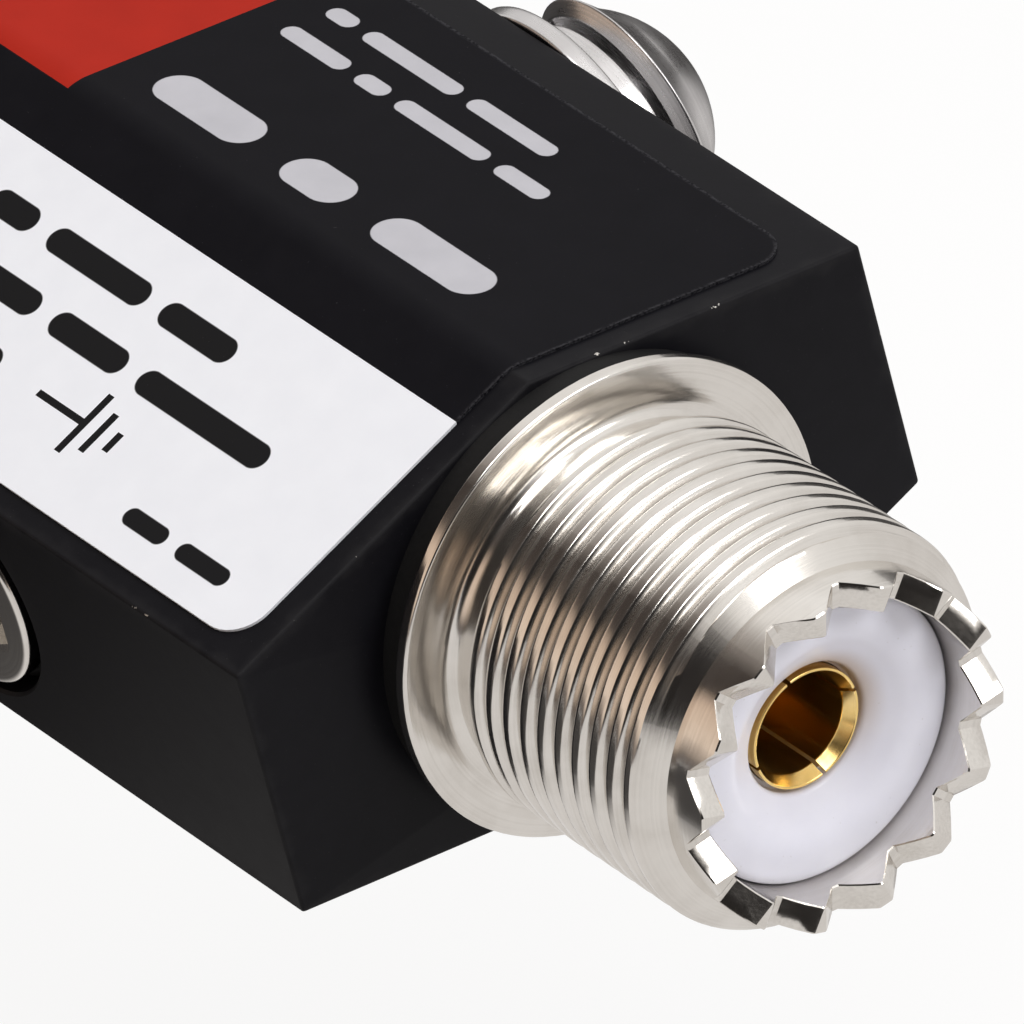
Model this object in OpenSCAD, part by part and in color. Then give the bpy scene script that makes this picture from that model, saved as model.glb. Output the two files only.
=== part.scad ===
// Coax lightning arrestor: a six-sided housing on a coax line, with a threaded socket at one end,
// a plug with a turning coupling ring at the other, a gas tube under a screwed cap on one flat side
// and a ground screw on the other. Millimetres.
// The coax line runs along X, from the plug at the origin to the socket.

/* [Housing] */
// Length of the housing along the coax line
body_len = 38.4; // [34:0.1:48]
// Width of the housing across its two flat sides
body_w = 29.4; // [28:0.1:36]
// Height of the housing from ridge to ridge
body_h = 19; // [18:0.1:24]
// Height of each flat side
side_h = 11.5; // [11:0.1:14]
// Chamfer along the housing's edges
edge_cut = 0.15; // [0.1:0.05:0.6]
// Radius of the bore round the line conductor
line_bore_r = 6.5; // [5.5:0.1:7]
// Wall left between the line bore and the ground screw's hole
hole_floor = 1.2; // [0.8:0.1:2]

/* [Label] */
// Thickness of the label sheet
label_t = 0.12; // [0.08:0.01:0.3]
// Margin between the label and the housing's ends
label_end_gap = 1.1; // [0.6:0.1:3]
// Margin between the label and the flat side by the cap
label_cap_gap = 1; // [0.5:0.1:4]
// Margin between the label and the flat side by the ground screw
label_ground_gap = 2.1; // [0.5:0.1:4]
// Radius of the label's corners
label_corner_r = 1.6; // [0.5:0.1:4]

/* [Coax ends] */
// Set back of both end flanges from the housing's ridges
flange_inset = 0; // [0:0.05:0.6]
// Thickness of both end flanges
flange_t = 0.55; // [0.4:0.05:1.5]
// Edge break on the flanges' front corner
flange_cut = 0.15; // [0.05:0.05:0.4]
// Thickness of the gasket under each flange
gasket_t = 1.2; // [0.4:0.05:1.4]
// Set back of the gasket from the flange's rim
gasket_inset = 0.4; // [0.1:0.1:0.8]
// Step from the flanges' rim to the spigots that hold the ends in the housing
flange_step = 2; // [1.6:0.05:2.2]
// Length of those spigots
spigot_len = 6; // [4:0.1:8]

/* [Socket] */
// Outer radius of the socket's thread
thread_r = 8; // [7.8:0.0125:8.2]
// Length of the threaded part
thread_len = 9.8; // [8:0.1:12]
// Pitch of the thread's grooves
thread_pitch = 1; // [0.9:0.01:1.6]
// Depth of the thread's grooves
thread_depth = 0.45; // [0.2:0.05:0.55]
// Length of the cone that leads into the thread
lead_len = 0.77; // [0.5:0.01:1.2]
// Radius of the plain neck behind the thread
neck_r = 7.3; // [6.9:0.05:7.6]
// Length of the plain neck
neck_len = 1.3; // [0.8:0.1:2.5]
// Outer radius of the toothed front rim
rim_r = 6.9; // [6.6:0.05:7.2]
// Bore of the socket shell
shell_bore_r = 5.85; // [5.7:0.05:6.1]
// Number of notches round the front rim
notch_count = 14; // [8:2:18]
// Depth of a notch
notch_depth = 1.05; // [0.6:0.05:1.6]
// Plain band between the thread's lead and the notches
rim_base = 1; // [0.3:0.05:1.5]
// Turn of the first notch from the upper ridge
notch_turn = 11.4; // [0:0.1:24]
// Width of a tooth's tip at the bore
tooth_tip = 0.12; // [0.08:0.01:0.6]
// Width of a notch at its floor
notch_floor = 0.3; // [0.1:0.05:0.6]
// Depth of the insulator's face below the tooth tips
face_depth = 1.75; // [1.7:0.05:3]
// Radius of the insulator's rounded front edge
face_round = 0.4; // [0.2:0.05:1.2]
// Radius of the shallow dish in the insulator's face
dish_r = 4.2; // [3.4:0.05:4.5]
// Depth of that dish where it meets the contact's clear ring
dish_depth = 0.8; // [0.2:0.05:1]
// Bore of the socket contact
contact_bore_r = 2; // [1.9:0.0125:2.1]
// Wall of the socket contact
contact_wall = 0.4; // [0.35:0.05:0.6]
// Radial width of the contact's lead-in
contact_lead = 0.3; // [0.1:0.05:0.3]
// Length of the contact's lead-in
contact_lead_len = 0.5; // [0.2:0.05:1]
// Depth of the contact's bore
contact_depth = 10.5; // [8:0.1:11]
// Set back of the contact from the insulator's face
contact_recess = 0.95; // [0.5:0.05:1.2]
// Width of the slots in the contact
slot_w = 0.15; // [0.1:0.05:0.6]
// Length of the slots in the contact
slot_len = 6; // [4:0.1:8]
// Turn of the slots from the upright
slot_turn = 6; // [0:1:45]
// Clear ring round the contact in the insulator's face
contact_clear = 0.55; // [0.3:0.05:1]

/* [Plug] */
// Distance from the housing to the barrel's front shoulder
barrel_end = 6.5; // [6:0.1:8]
// Bore of the plug shell
plug_bore_r = 5.2; // [4.8:0.05:5.4]
// Radial gap between the plug's lip and the bore of a mating socket
lip_gap = 0.15; // [0.05:0.05:0.25]
// Length of that lip
lip_len = 1.6; // [1:0.1:1.7]
// Height of the prongs on the barrel's shoulder
prong_h = 0.7; // [0.4:0.1:0.9]
// Width of a prong
prong_w = 0.9; // [0.5:0.1:1.2]
// Distance from the housing to the plug insulator's face
plug_face = 7.6; // [7:0.1:8.5]
// Radius of the plug's pin
pin_r = 2; // [1.9:0.0125:2.1]
// Width of the collar that holds the pin in its insulator
pin_collar = 0.4; // [0.2:0.05:0.8]
// Free length of the plug's pin
pin_len = 9.6; // [8:0.1:12]

/* [Coupling ring] */
// Step from the flanges' rim to the outside of the coupling ring
ring_step = 0.25; // [0.1:0.05:0.6]
// Wall of the ring round the clip
ring_wall = 1.12; // [0.9:0.02:1.3]
// Length of the coupling ring
ring_len = 15.4; // [14.6:0.1:18]
// Height of the ring's inner thread from that wall to its crests
ring_thread_h = 0.67; // [0.5:0.01:0.8]
// Chamfer at the mouth of the ring's inner thread
ring_mouth = 0.59; // [0.3:0.01:0.6]
// Axial length of the rear lip that runs on the barrel
ring_lip = 2.6; // [1.8:0.1:2.8]
// Chamfer on the ring's outer corners
ring_cut = 0.5; // [0.2:0.05:0.8]
// Depth of the ring's two turned grooves
ring_groove = 0.35; // [0.1:0.05:0.6]
// Number of flutes round the ring's grip
flute_count = 36; // [24:2:48]
// Depth of a flute
flute_depth = 0.3; // [0.1:0.05:0.4]
// Width of a flute at the ring's surface
flute_w = 1; // [0.4:0.05:1.1]
// Thickness of the clip that keeps the ring on
clip_t = 0.7; // [0.4:0.05:0.8]
// Radial width of the clip
clip_w = 1.4; // [1:0.05:1.5]
// Angle left open in the clip
clip_open = 40; // [20:5:70]

/* [Line conductor] */
// Radius of the line conductor
line_r = 2.8; // [2.4:0.05:3.2]
// Depth of the flat on the line conductor under the gas tube
line_flat = 0.4; // [0.2:0.05:0.8]
// Radius of the contact's and the pin's tails
tail_r = 1.5; // [1:0.05:1.7]
// Length of those tails inside the line conductor
tail_len = 3.5; // [2:0.1:5]

/* [Gas tube] */
// Radius of the gas tube
tube_r = 4; // [3.6:0.05:4.1]
// Length of the gas tube
tube_len = 6; // [5:0.1:6.4]
// Thickness of the gas tube's end electrodes
electrode_t = 0.8; // [0.5:0.05:1.2]
// Radius of the electrodes' inner bosses
boss_r = 2; // [1.5:0.05:2.4]
// Gap between the two bosses inside the tube
spark_gap = 1; // [0.6:0.05:1.6]
// Wall of the ceramic
ceramic_wall = 1.1; // [0.8:0.05:1.4]
// Wall of the sleeve round the tube
sleeve_wall = 0.25; // [0.15:0.05:0.5]
// Wire radius of the contact spring
spring_wire_r = 0.25; // [0.15:0.05:0.35]
// Mean radius of the contact spring
spring_r = 2.5; // [2:0.1:2.8]
// Turns of the contact spring
spring_turns = 3; // [2:0.5:4]

/* [Gas tube cap] */
// Radius of the cap's head
cap_head_r = 4.6; // [4.5:0.05:4.8]
// Thickness of the cap's head
cap_head_t = 1; // [0.8:0.05:1.4]
// How far the cap's head stands out of the flat side
cap_proud = 0.15; // [0:0.05:0.5]
// Length of the cap's thread
cap_thread_len = 2.2; // [1.6:0.1:2.6]
// Size of the cap's hexagon socket across its flats
cap_hex = 6; // [4:0.1:6.4]
// Depth of the hexagon socket
cap_hex_depth = 2.3; // [1.5:0.1:2.6]
// Web left between the hexagon socket and the cup for the contact spring
cap_web = 0.8; // [0.5:0.05:1.2]
// Gap between the cap's head and the recess round it
recess_gap = 0.5; // [0.3:0.05:0.6]

/* [Ground screw] */
// Radius of the ground screw's shank
screw_r = 2.45; // [1.9:0.05:2.6]
// Radius of the screw's pan head
head_r = 4.85; // [4.4:0.05:5]
// Radius of the head where its sloping side ends
head_edge_r = 3.75; // [3.6:0.05:4.2]
// Height of the head's sloping side
head_side = 1.5; // [0.8:0.05:1.8]
// Height of the whole head
head_h = 3.3; // [3.2:0.1:4]
// Radius of the round along the head's top
head_round = 1.35; // [0.6:0.05:1.4]
// Width of the head's cross recess
cross_w = 1.1; // [0.8:0.05:1.4]
// Span of the head's cross recess
cross_span = 4.6; // [3:0.1:4.6]
// Depth of the head's cross recess
cross_depth = 1.6; // [1:0.1:2]
// Radius of the flat washer
washer_r = 5.9; // [5.2:0.05:6.2]
// Thickness of the flat washer
washer_t = 0.8; // [0.6:0.05:1.4]
// Outer radius of the split spring washer
split_r = 4.3; // [4:0.05:4.8]
// Thickness of the split spring washer
split_t = 1.2; // [0.8:0.05:1.4]
// Rise of the spring washer between its cut ends
split_rise = 0.4; // [0.2:0.05:0.8]
// Angle of the cut in the spring washer
split_cut = 7; // [5:1:20]
// Turn of the spring washer's lower end from the coax line
split_turn = 124; // [0:1:180]

/* [Fits] */
// Radial gap between pieces that are fixed in each other
seat_gap = 0.03; // [0.01:0.01:0.06]
// Radial gap of a turning fit
run_gap = 0.05; // [0.03:0.01:0.1]
// Gap between faces of pieces that move apart
face_gap = 0.06; // [0.03:0.01:0.2]
// Axial play of the coupling ring to each side
ring_play = 0.25; // [0.1:0.05:0.4]

/* [Hidden] */
$fn = 96;
over = 0.5;

// Housing section: half sizes, and the slope of the roof faces
half_w = body_w / 2;
half_h = body_h / 2;
half_side = side_h / 2;
roof_angle = atan((half_h - half_side) / half_w);
roof_len = norm([half_w, half_h - half_side]);

// Places along the coax line
plug_end_x = plug_face;
socket_end_x = plug_end_x + body_len;
mid_x = plug_end_x + body_len / 2;

// Socket, measured outward from the housing's end
flange_r = half_h - flange_inset;
spigot_r = flange_r - flange_step;
flange_front = gasket_t + flange_t;
thread_start = flange_front + neck_len;
thread_end = thread_start + thread_len;
rim_start = thread_end + lead_len;
rim_end = rim_start + rim_base + notch_depth;
socket_face_u = rim_end - face_depth;
contact_front = socket_face_u - contact_recess;
contact_r = contact_bore_r + contact_wall;
notch_mouth = 2 * PI * shell_bore_r / notch_count - tooth_tip;
thread_ramp = (thread_r - neck_r) / 2;
thread_room = thread_len - thread_ramp;
groove_count = floor(thread_room / thread_pitch);
groove_half = thread_depth * tan(30);
groove_first = thread_end - thread_room / 2 - (groove_count - 1) * thread_pitch / 2;

// Plug, measured outward from the housing's end
lip_r = shell_bore_r - lip_gap;
lip_end = barrel_end + lip_len;
pin_end = plug_face + pin_len;
ring_rear = flange_front + ring_play;
ring_front = ring_rear + ring_len;
clip_rear = ring_rear + ring_lip + ring_play;
clip_front = clip_rear + clip_t;
ring_r = flange_r - ring_step;
ring_pocket_r = ring_r - ring_wall;
ring_thread_r = ring_pocket_r - ring_thread_h;
ring_thread_rear = lip_end;
clip_r = ring_pocket_r - ring_play;
clip_groove_r = clip_r - clip_w;
barrel_r = clip_groove_r + clip_w / 3;

// Gas tube and cap, measured from the coax line toward the cap's side
tube_bore_r = tube_r + sleeve_wall + 2 * seat_gap;
tube_in = line_r - line_flat;
tube_out = tube_in + tube_len;
cap_top = half_w + cap_proud;
cap_head_in = cap_top - cap_head_t;
cap_neck_r = tube_bore_r - run_gap;
recess_r = cap_head_r + recess_gap;
seal_r = (cap_neck_r + recess_r) / 2;
seal_wire_r = (recess_r - cap_neck_r) / 2 - run_gap;
seal_mid = cap_head_in - seal_wire_r - face_gap / 2;
recess_floor = seal_mid - seal_wire_r - face_gap / 2;
cap_end = recess_floor - cap_thread_len;
cap_cup_r = spring_r + spring_wire_r + 2 * run_gap;
cap_cup_floor = cap_top - cap_hex_depth - cap_web;

// Ground screw, measured from the coax line toward its side
washer_in = half_w + face_gap;
washer_out = washer_in + washer_t;
split_out = washer_out + split_t + split_rise;
head_in = split_out + face_gap;
hole_end = line_bore_r + hole_floor;
screw_end = hole_end + over;
screw_hole_r = screw_r + run_gap;
washer_bore_r = screw_r + 4 * run_gap;

// Placing: the socket end, the plug end, and the two sides of the housing
module at_socket() {
    translate([socket_end_x, 0, 0]) children();
}

module at_plug() {
    translate([plug_end_x, 0, 0]) mirror([1, 0, 0]) children();
}

module toward_ground() {
    translate([mid_x, 0, 0]) rotate([-90, 0, 0]) children();
}

module toward_cap() {
    translate([mid_x, 0, 0]) rotate([90, 0, 0]) children();
}

// A half section of [radius, distance] points, turned about the coax line
module turned(points) {
    rotate([0, 90, 0]) rotate_extrude() polygon(points);
}

// A half section turned about the upright axis of a side
module turned_up(points) {
    rotate_extrude() polygon(points);
}

// A section drawn across the coax line, drawn out along it
module along_line(length) {
    rotate([90, 0, 90]) linear_extrude(length) children();
}

// The housing's six corners, each side moved inward by inset
function hex_corners(inset) =
    let (
        y = half_w - inset,
        ridge = half_h - inset / cos(roof_angle),
        z = ridge - y * tan(roof_angle)
    )
    [[y, -z], [y, z], [0, ridge], [-y, z], [-y, -z], [0, -ridge]];

// A closed outline with each corner cut off at a set distance
function cut_corners(p, cut) = [
    for (i = [0 : len(p) - 1])
        let (
            before = p[(i + len(p) - 1) % len(p)] - p[i],
            after = p[(i + 1) % len(p)] - p[i]
        )
        each [p[i] + before * cut / norm(before), p[i] + after * cut / norm(after)]
];

// The housing's block with its long and end edges chamfered
module housing_block() {
    hull() {
        translate([plug_end_x + edge_cut, 0, 0])
            along_line(body_len - 2 * edge_cut) polygon(cut_corners(hex_corners(0), edge_cut));
        translate([plug_end_x, 0, 0])
            along_line(body_len) polygon(cut_corners(hex_corners(edge_cut), edge_cut));
    }
}

// Seat of one coax end in the housing, drawn inward from the end face
module end_seat() {
    rotate([0, -90, 0]) translate([0, 0, -over])
        cylinder(h = spigot_len + seat_gap + over, r = spigot_r + seat_gap);
}

module housing() {
    color("#2a2a2d") difference() {
        housing_block();
        translate([plug_end_x - over, 0, 0]) rotate([0, 90, 0])
            cylinder(h = body_len + 2 * over, r = line_bore_r);
        at_socket() end_seat();
        at_plug() end_seat();
        toward_cap() {
            cylinder(h = half_w + over, r = tube_bore_r);
            translate([0, 0, recess_floor]) cylinder(h = half_w, r = recess_r);
        }
        toward_ground() translate([0, 0, hole_end]) cylinder(h = half_w, r = screw_hole_r);
    }
}

// The label's outline seen from above, with round corners
module label_outline() {
    low = label_corner_r - (roof_len - label_cap_gap) * cos(roof_angle);
    high = (roof_len - label_ground_gap) * cos(roof_angle) - label_corner_r;
    reach = body_len / 2 - label_end_gap - label_corner_r;
    translate([-reach - label_corner_r, low]) square([2 * (reach + label_corner_r), high - low]);
    translate([-reach, low - label_corner_r]) square([2 * reach, high - low + 2 * label_corner_r]);
    for (x = [-reach, reach], y = [low, high]) translate([x, y]) circle(label_corner_r);
}

module wrap_label() {
    fold = half_h + seat_gap / 3;
    fall = half_w * tan(roof_angle);
    lift = label_t / cos(roof_angle);
    color("#1d1d20") intersection() {
        translate([plug_end_x, 0, 0]) along_line(body_len) polygon([
            [-half_w, fold - fall],
            [0, fold],
            [half_w, fold - fall],
            [half_w, fold - fall + lift],
            [0, fold + lift],
            [-half_w, fold - fall + lift]
        ]);
        translate([mid_x, 0, 0]) linear_extrude(body_h) label_outline();
    }
}

// Mirrors a piece to the other end of the housing
module mirror_end(other) {
    translate([mid_x, 0, 0]) mirror([other, 0, 0]) translate([-mid_x, 0, 0]) children();
}

// One notch of the front rim, cut radially, with its floor at the local origin
module rim_notch() {
    spread = (notch_mouth - notch_floor) / 2 / notch_depth;
    top = notch_depth + over;
    half_top = notch_floor / 2 + spread * top;
    translate([0, 0, shell_bore_r - over])
        linear_extrude(rim_r - shell_bore_r + 2 * over) polygon([
            [0, -notch_floor / 2],
            [top, -half_top],
            [top, half_top],
            [0, notch_floor / 2]
        ]);
}

// One groove of the socket's thread, in the half section
function thread_groove(middle) = [
    [thread_r, middle - groove_half],
    [thread_r - thread_depth, middle],
    [thread_r, middle + groove_half]
];

module socket_shell() {
    color("#c9c2b8") at_socket() difference() {
        turned([
            [shell_bore_r, -spigot_len],
            [spigot_r, -spigot_len],
            [spigot_r, gasket_t],
            [flange_r, gasket_t],
            [flange_r, flange_front - flange_cut],
            [flange_r - flange_cut, flange_front],
            [neck_r + flange_cut, flange_front],
            [neck_r, flange_front + flange_cut],
            [neck_r, thread_start],
            [thread_r, thread_start + thread_ramp],
            for (i = [0 : groove_count - 1]) each thread_groove(groove_first + i * thread_pitch),
            [thread_r, thread_end],
            [rim_r, rim_start],
            [rim_r, rim_end],
            [shell_bore_r, rim_end]
        ]);
        for (i = [0 : notch_count - 1])
            rotate([notch_turn + 360 * i / notch_count, 0, 0])
                translate([rim_start + rim_base, 0, 0]) rim_notch();
    }
}

// The gasket ring that lies under either flange
module end_gasket() {
    turned([
        [spigot_r + seat_gap, 0],
        [flange_r - gasket_inset, 0],
        [flange_r - gasket_inset, gasket_t],
        [spigot_r + seat_gap, gasket_t]
    ]);
}

module socket_gasket() {
    color("#151515") at_socket() end_gasket();
}

module socket_insulator() {
    outer = shell_bore_r - seat_gap;
    hole = contact_r + seat_gap;
    mouth = contact_r + contact_clear;
    color("#eceaf2") at_socket() rotate([0, 90, 0]) difference() {
        rotate_extrude() union() {
            translate([hole, -spigot_len])
                square([outer - hole, spigot_len + socket_face_u - face_round]);
            translate([hole, 0]) square([outer - face_round - hole, socket_face_u]);
            translate([outer - face_round, socket_face_u - face_round]) circle(face_round);
        }
        translate([0, 0, contact_front - contact_clear])
            cylinder(h = contact_recess + contact_clear + over, r = mouth);
        translate([0, 0, socket_face_u - dish_depth])
            cylinder(h = 2 * dish_depth, r1 = mouth, r2 = 2 * dish_r - mouth);
    }
}

module socket_contact() {
    color("#d9a441") at_socket() difference() {
        turned([
            [0, -spigot_len - tail_len],
            [tail_r, -spigot_len - tail_len],
            [tail_r, -spigot_len],
            [contact_r, -spigot_len],
            [contact_r, contact_front],
            [contact_bore_r + contact_lead, contact_front],
            [contact_bore_r, contact_front - contact_lead_len],
            [contact_bore_r, contact_front - contact_depth],
            [0, contact_front - contact_depth]
        ]);
        for (turn = [0, 90])
            rotate([slot_turn + turn, 0, 0])
                translate([contact_front - slot_len, -slot_w / 2, -contact_r - over])
                    cube([slot_len + over, slot_w, 2 * (contact_r + over)]);
    }
}

module plug_shell() {
    color("#c9c2b8") at_plug() {
        turned([
            [plug_bore_r, -spigot_len],
            [spigot_r, -spigot_len],
            [spigot_r, gasket_t],
            [flange_r, gasket_t],
            [flange_r, flange_front - flange_cut],
            [flange_r - flange_cut, flange_front],
            [barrel_r, flange_front],
            [barrel_r, clip_rear - seat_gap],
            [clip_groove_r, clip_rear - seat_gap],
            [clip_groove_r, clip_front + seat_gap],
            [barrel_r, clip_front + seat_gap],
            [barrel_r, barrel_end],
            [lip_r, barrel_end],
            [lip_r, lip_end],
            [plug_bore_r, lip_end]
        ]);
        for (turn = [0, 180]) rotate([turn, 0, 0]) intersection() {
            turned([
                [lip_r - seat_gap, barrel_end - over],
                [barrel_r, barrel_end - over],
                [barrel_r, barrel_end + prong_h],
                [lip_r - seat_gap, barrel_end + prong_h]
            ]);
            translate([0, -prong_w / 2, 0]) cube([lip_end, prong_w, barrel_r + over]);
        }
    }
}

module plug_gasket() {
    color("#151515") at_plug() end_gasket();
}

module plug_insulator() {
    color("#eceaf2") at_plug() turned([
        [pin_r + pin_collar + seat_gap, -spigot_len],
        [plug_bore_r - seat_gap, -spigot_len],
        [plug_bore_r - seat_gap, plug_face],
        [pin_r + pin_collar + seat_gap, plug_face]
    ]);
}

module plug_pin() {
    color("#d9a441") at_plug() turned([
        [0, -spigot_len - tail_len],
        [tail_r, -spigot_len - tail_len],
        [tail_r, -spigot_len],
        [pin_r + pin_collar, -spigot_len],
        [pin_r + pin_collar, plug_face],
        [pin_r, plug_face],
        [pin_r, pin_end - pin_r / 2],
        [pin_r / 2, pin_end],
        [0, pin_end]
    ]);
}

// One flute of the ring's grip, run out into the groove at each end
module ring_flute(from, to) {
    half_top = flute_w / 2 * (flute_depth + over) / flute_depth;
    translate([from, 0, 0]) along_line(to - from) polygon([
        [0, ring_r - flute_depth],
        [half_top, ring_r + over],
        [-half_top, ring_r + over]
    ]);
}

module coupling_ring() {
    band = ring_len / 5;
    run_out = band + ring_cut / 2;
    color("#c9c2b8") at_plug() difference() {
        ring_blank(band);
        for (i = [0 : flute_count - 1]) rotate([360 * i / flute_count, 0, 0])
            ring_flute(ring_rear + run_out, ring_front - run_out);
    }
}

// The ring as turned, before its flutes are cut
module ring_blank(band) {
    turned([
        [barrel_r + run_gap, ring_rear],
        [ring_r - ring_cut, ring_rear],
        [ring_r, ring_rear + ring_cut],
        [ring_r, ring_rear + band],
        [ring_r - ring_groove, ring_rear + band],
        [ring_r - ring_groove, ring_rear + band + ring_cut],
        [ring_r, ring_rear + band + ring_cut],
        [ring_r, ring_front - band - ring_cut],
        [ring_r - ring_groove, ring_front - band - ring_cut],
        [ring_r - ring_groove, ring_front - band],
        [ring_r, ring_front - band],
        [ring_r, ring_front - ring_cut],
        [ring_r - ring_cut, ring_front],
        [ring_thread_r + ring_mouth, ring_front],
        [ring_thread_r, ring_front - ring_mouth],
        [ring_thread_r, ring_thread_rear],
        [ring_pocket_r, ring_thread_rear],
        [ring_pocket_r, ring_rear + ring_lip],
        [barrel_r + run_gap, ring_rear + ring_lip]
    ]);
}

module coupling_clip() {
    color("#8f8a82") at_plug() rotate([0, 90, 0]) rotate([0, 0, clip_open / 2])
        rotate_extrude(angle = 360 - clip_open)
            translate([clip_groove_r + seat_gap, clip_rear]) square([clip_w - seat_gap, clip_t]);
}

module line_conductor() {
    color("#c59b4a") difference() {
        translate([plug_end_x + spigot_len + over, 0, 0]) rotate([0, 90, 0])
            cylinder(h = body_len - 2 * (spigot_len + over), r = line_r);
        for (end = [0, 1]) mirror_end(end)
            translate([plug_end_x, 0, 0]) rotate([0, 90, 0])
                cylinder(h = spigot_len + tail_len + over, r = tail_r + seat_gap);
        toward_cap() translate([0, 0, tube_in]) cylinder(h = line_r, r = tube_bore_r);
    }
}

module tube_ceramic() {
    color("#e9e4d8") toward_cap() turned_up([
        [tube_r - ceramic_wall, tube_in + electrode_t],
        [tube_r, tube_in + electrode_t],
        [tube_r, tube_out - electrode_t],
        [tube_r - ceramic_wall, tube_out - electrode_t]
    ]);
}

// An electrode with its inner boss, drawn upward from its outer face
module electrode() {
    turned_up([
        [0, 0],
        [tube_r - seat_gap, 0],
        [tube_r - seat_gap, electrode_t],
        [boss_r, electrode_t],
        [boss_r, (tube_len - spark_gap) / 2],
        [0, (tube_len - spark_gap) / 2]
    ]);
}

module tube_line_electrode() {
    color("#b9b4ac") toward_cap() translate([0, 0, tube_in]) electrode();
}

module tube_earth_electrode() {
    color("#b9b4ac") toward_cap() translate([0, 0, tube_out]) mirror([0, 0, 1]) electrode();
}

module tube_sleeve() {
    color("#f2f2f0") toward_cap() turned_up([
        [tube_r + seat_gap, tube_in + electrode_t],
        [tube_bore_r - seat_gap, tube_in + electrode_t],
        [tube_bore_r - seat_gap, tube_out],
        [tube_r + seat_gap, tube_out]
    ]);
}

// A round or square bar swept along a list of rings, each ring a list of points
module swept(rings) {
    n = len(rings[0]);
    m = len(rings);
    faces = [
        [for (k = [0 : n - 1]) k],
        for (i = [0 : m - 2], k = [0 : n - 1])
            [i * n + k, (i + 1) * n + k, (i + 1) * n + (k + 1) % n, i * n + (k + 1) % n],
        [for (k = [n - 1 : -1 : 0]) (m - 1) * n + k]
    ];
    polyhedron(points = [for (ring = rings) each ring], faces = faces, convexity = 6);
}

// A ring of a helix: a small outline turned to an angle and lifted to a height
function helix_ring(outline, angle, radius, height) = [
    for (p = outline) [(radius + p.x) * cos(angle), (radius + p.x) * sin(angle), height + p.y]
];

module tube_spring() {
    low = tube_out + spring_wire_r + seat_gap;
    high = cap_cup_floor - spring_wire_r - face_gap;
    steps = 18 * spring_turns;
    sides = 8;
    wire = [for (k = [0 : sides - 1]) spring_wire_r * [cos(360 * k / sides), sin(360 * k / sides)]];
    color("#d0cdc6") toward_cap() swept([
        for (i = [0 : steps])
            helix_ring(wire, 360 * spring_turns * i / steps, spring_r, low + (high - low) * i / steps)
    ]);
}

module tube_cap() {
    color("#c9c2b8") toward_cap() difference() {
        turned_up([
            [0, cap_end],
            [cap_neck_r, cap_end],
            [cap_neck_r, cap_head_in],
            [cap_head_r, cap_head_in],
            [cap_head_r, cap_top - flange_cut],
            [cap_head_r - flange_cut, cap_top],
            [0, cap_top]
        ]);
        translate([0, 0, cap_top - cap_hex_depth])
            cylinder(h = cap_hex_depth + over, r = cap_hex / sqrt(3), $fn = 6);
        translate([0, 0, cap_end - over])
            cylinder(h = cap_cup_floor - cap_end + over, r = cap_cup_r);
    }
}

module cap_seal() {
    color("#151515") toward_cap() translate([0, 0, seal_mid]) rotate_extrude()
        translate([seal_r, 0]) circle(seal_wire_r);
}

module ground_screw() {
    color("#cfccc6") toward_ground() difference() {
        union() {
            turned_up([
                [0, screw_end],
                [screw_r, screw_end],
                [screw_r, head_in],
                [head_r, head_in],
                [head_edge_r, head_in + head_side],
                [0, head_in + head_side]
            ]);
            head_top();
        }
        for (turn = [0, 90]) rotate([0, 0, turn])
            translate([-cross_span / 2, -cross_w / 2, head_in + head_h - cross_depth])
                cube([cross_span, cross_w, cross_depth + over]);
    }
}

// The rounded top of the screw's head
module head_top() {
    low = head_in + head_side;
    high = head_in + head_h;
    rotate_extrude() {
        translate([0, low]) square([head_edge_r, head_h - head_side - head_round]);
        translate([0, low]) square([head_edge_r - head_round, head_h - head_side]);
        translate([head_edge_r - head_round, high - head_round]) circle(head_round);
    }
}

module ground_spring_washer() {
    inner = washer_bore_r;
    outline = [[inner, 0], [split_r, 0], [split_r, split_t], [inner, split_t]];
    steps = 48;
    sweep = 360 - split_cut;
    color("#d8d5cf") toward_ground() swept([
        for (i = [0 : steps])
            helix_ring(outline, sweep * i / steps - split_turn, 0, washer_out + split_rise * i / steps)
    ]);
}

module ground_washer() {
    color("#d8d5cf") toward_ground() turned_up([
        [washer_bore_r, washer_in],
        [washer_r - flange_cut, washer_in],
        [washer_r, washer_in + flange_cut],
        [washer_r, washer_out - flange_cut],
        [washer_r - flange_cut, washer_out],
        [washer_bore_r, washer_out]
    ]);
}

housing();
wrap_label();
socket_shell();
socket_gasket();
socket_insulator();
socket_contact();
plug_shell();
plug_gasket();
plug_insulator();
plug_pin();
coupling_ring();
coupling_clip();
line_conductor();
tube_ceramic();
tube_line_electrode();
tube_earth_electrode();
tube_sleeve();
tube_spring();
tube_cap();
cap_seal();
ground_screw();
ground_spring_washer();
ground_washer();
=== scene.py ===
"""Looks of a coax lightning arrestor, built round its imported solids."""

import enum
import functools
import logging
import math
from dataclasses import dataclass, field
from typing import Any, Callable, Mapping, Optional, Sequence, Union

import bmesh
import bpy
from mathutils import Matrix, Vector


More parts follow.
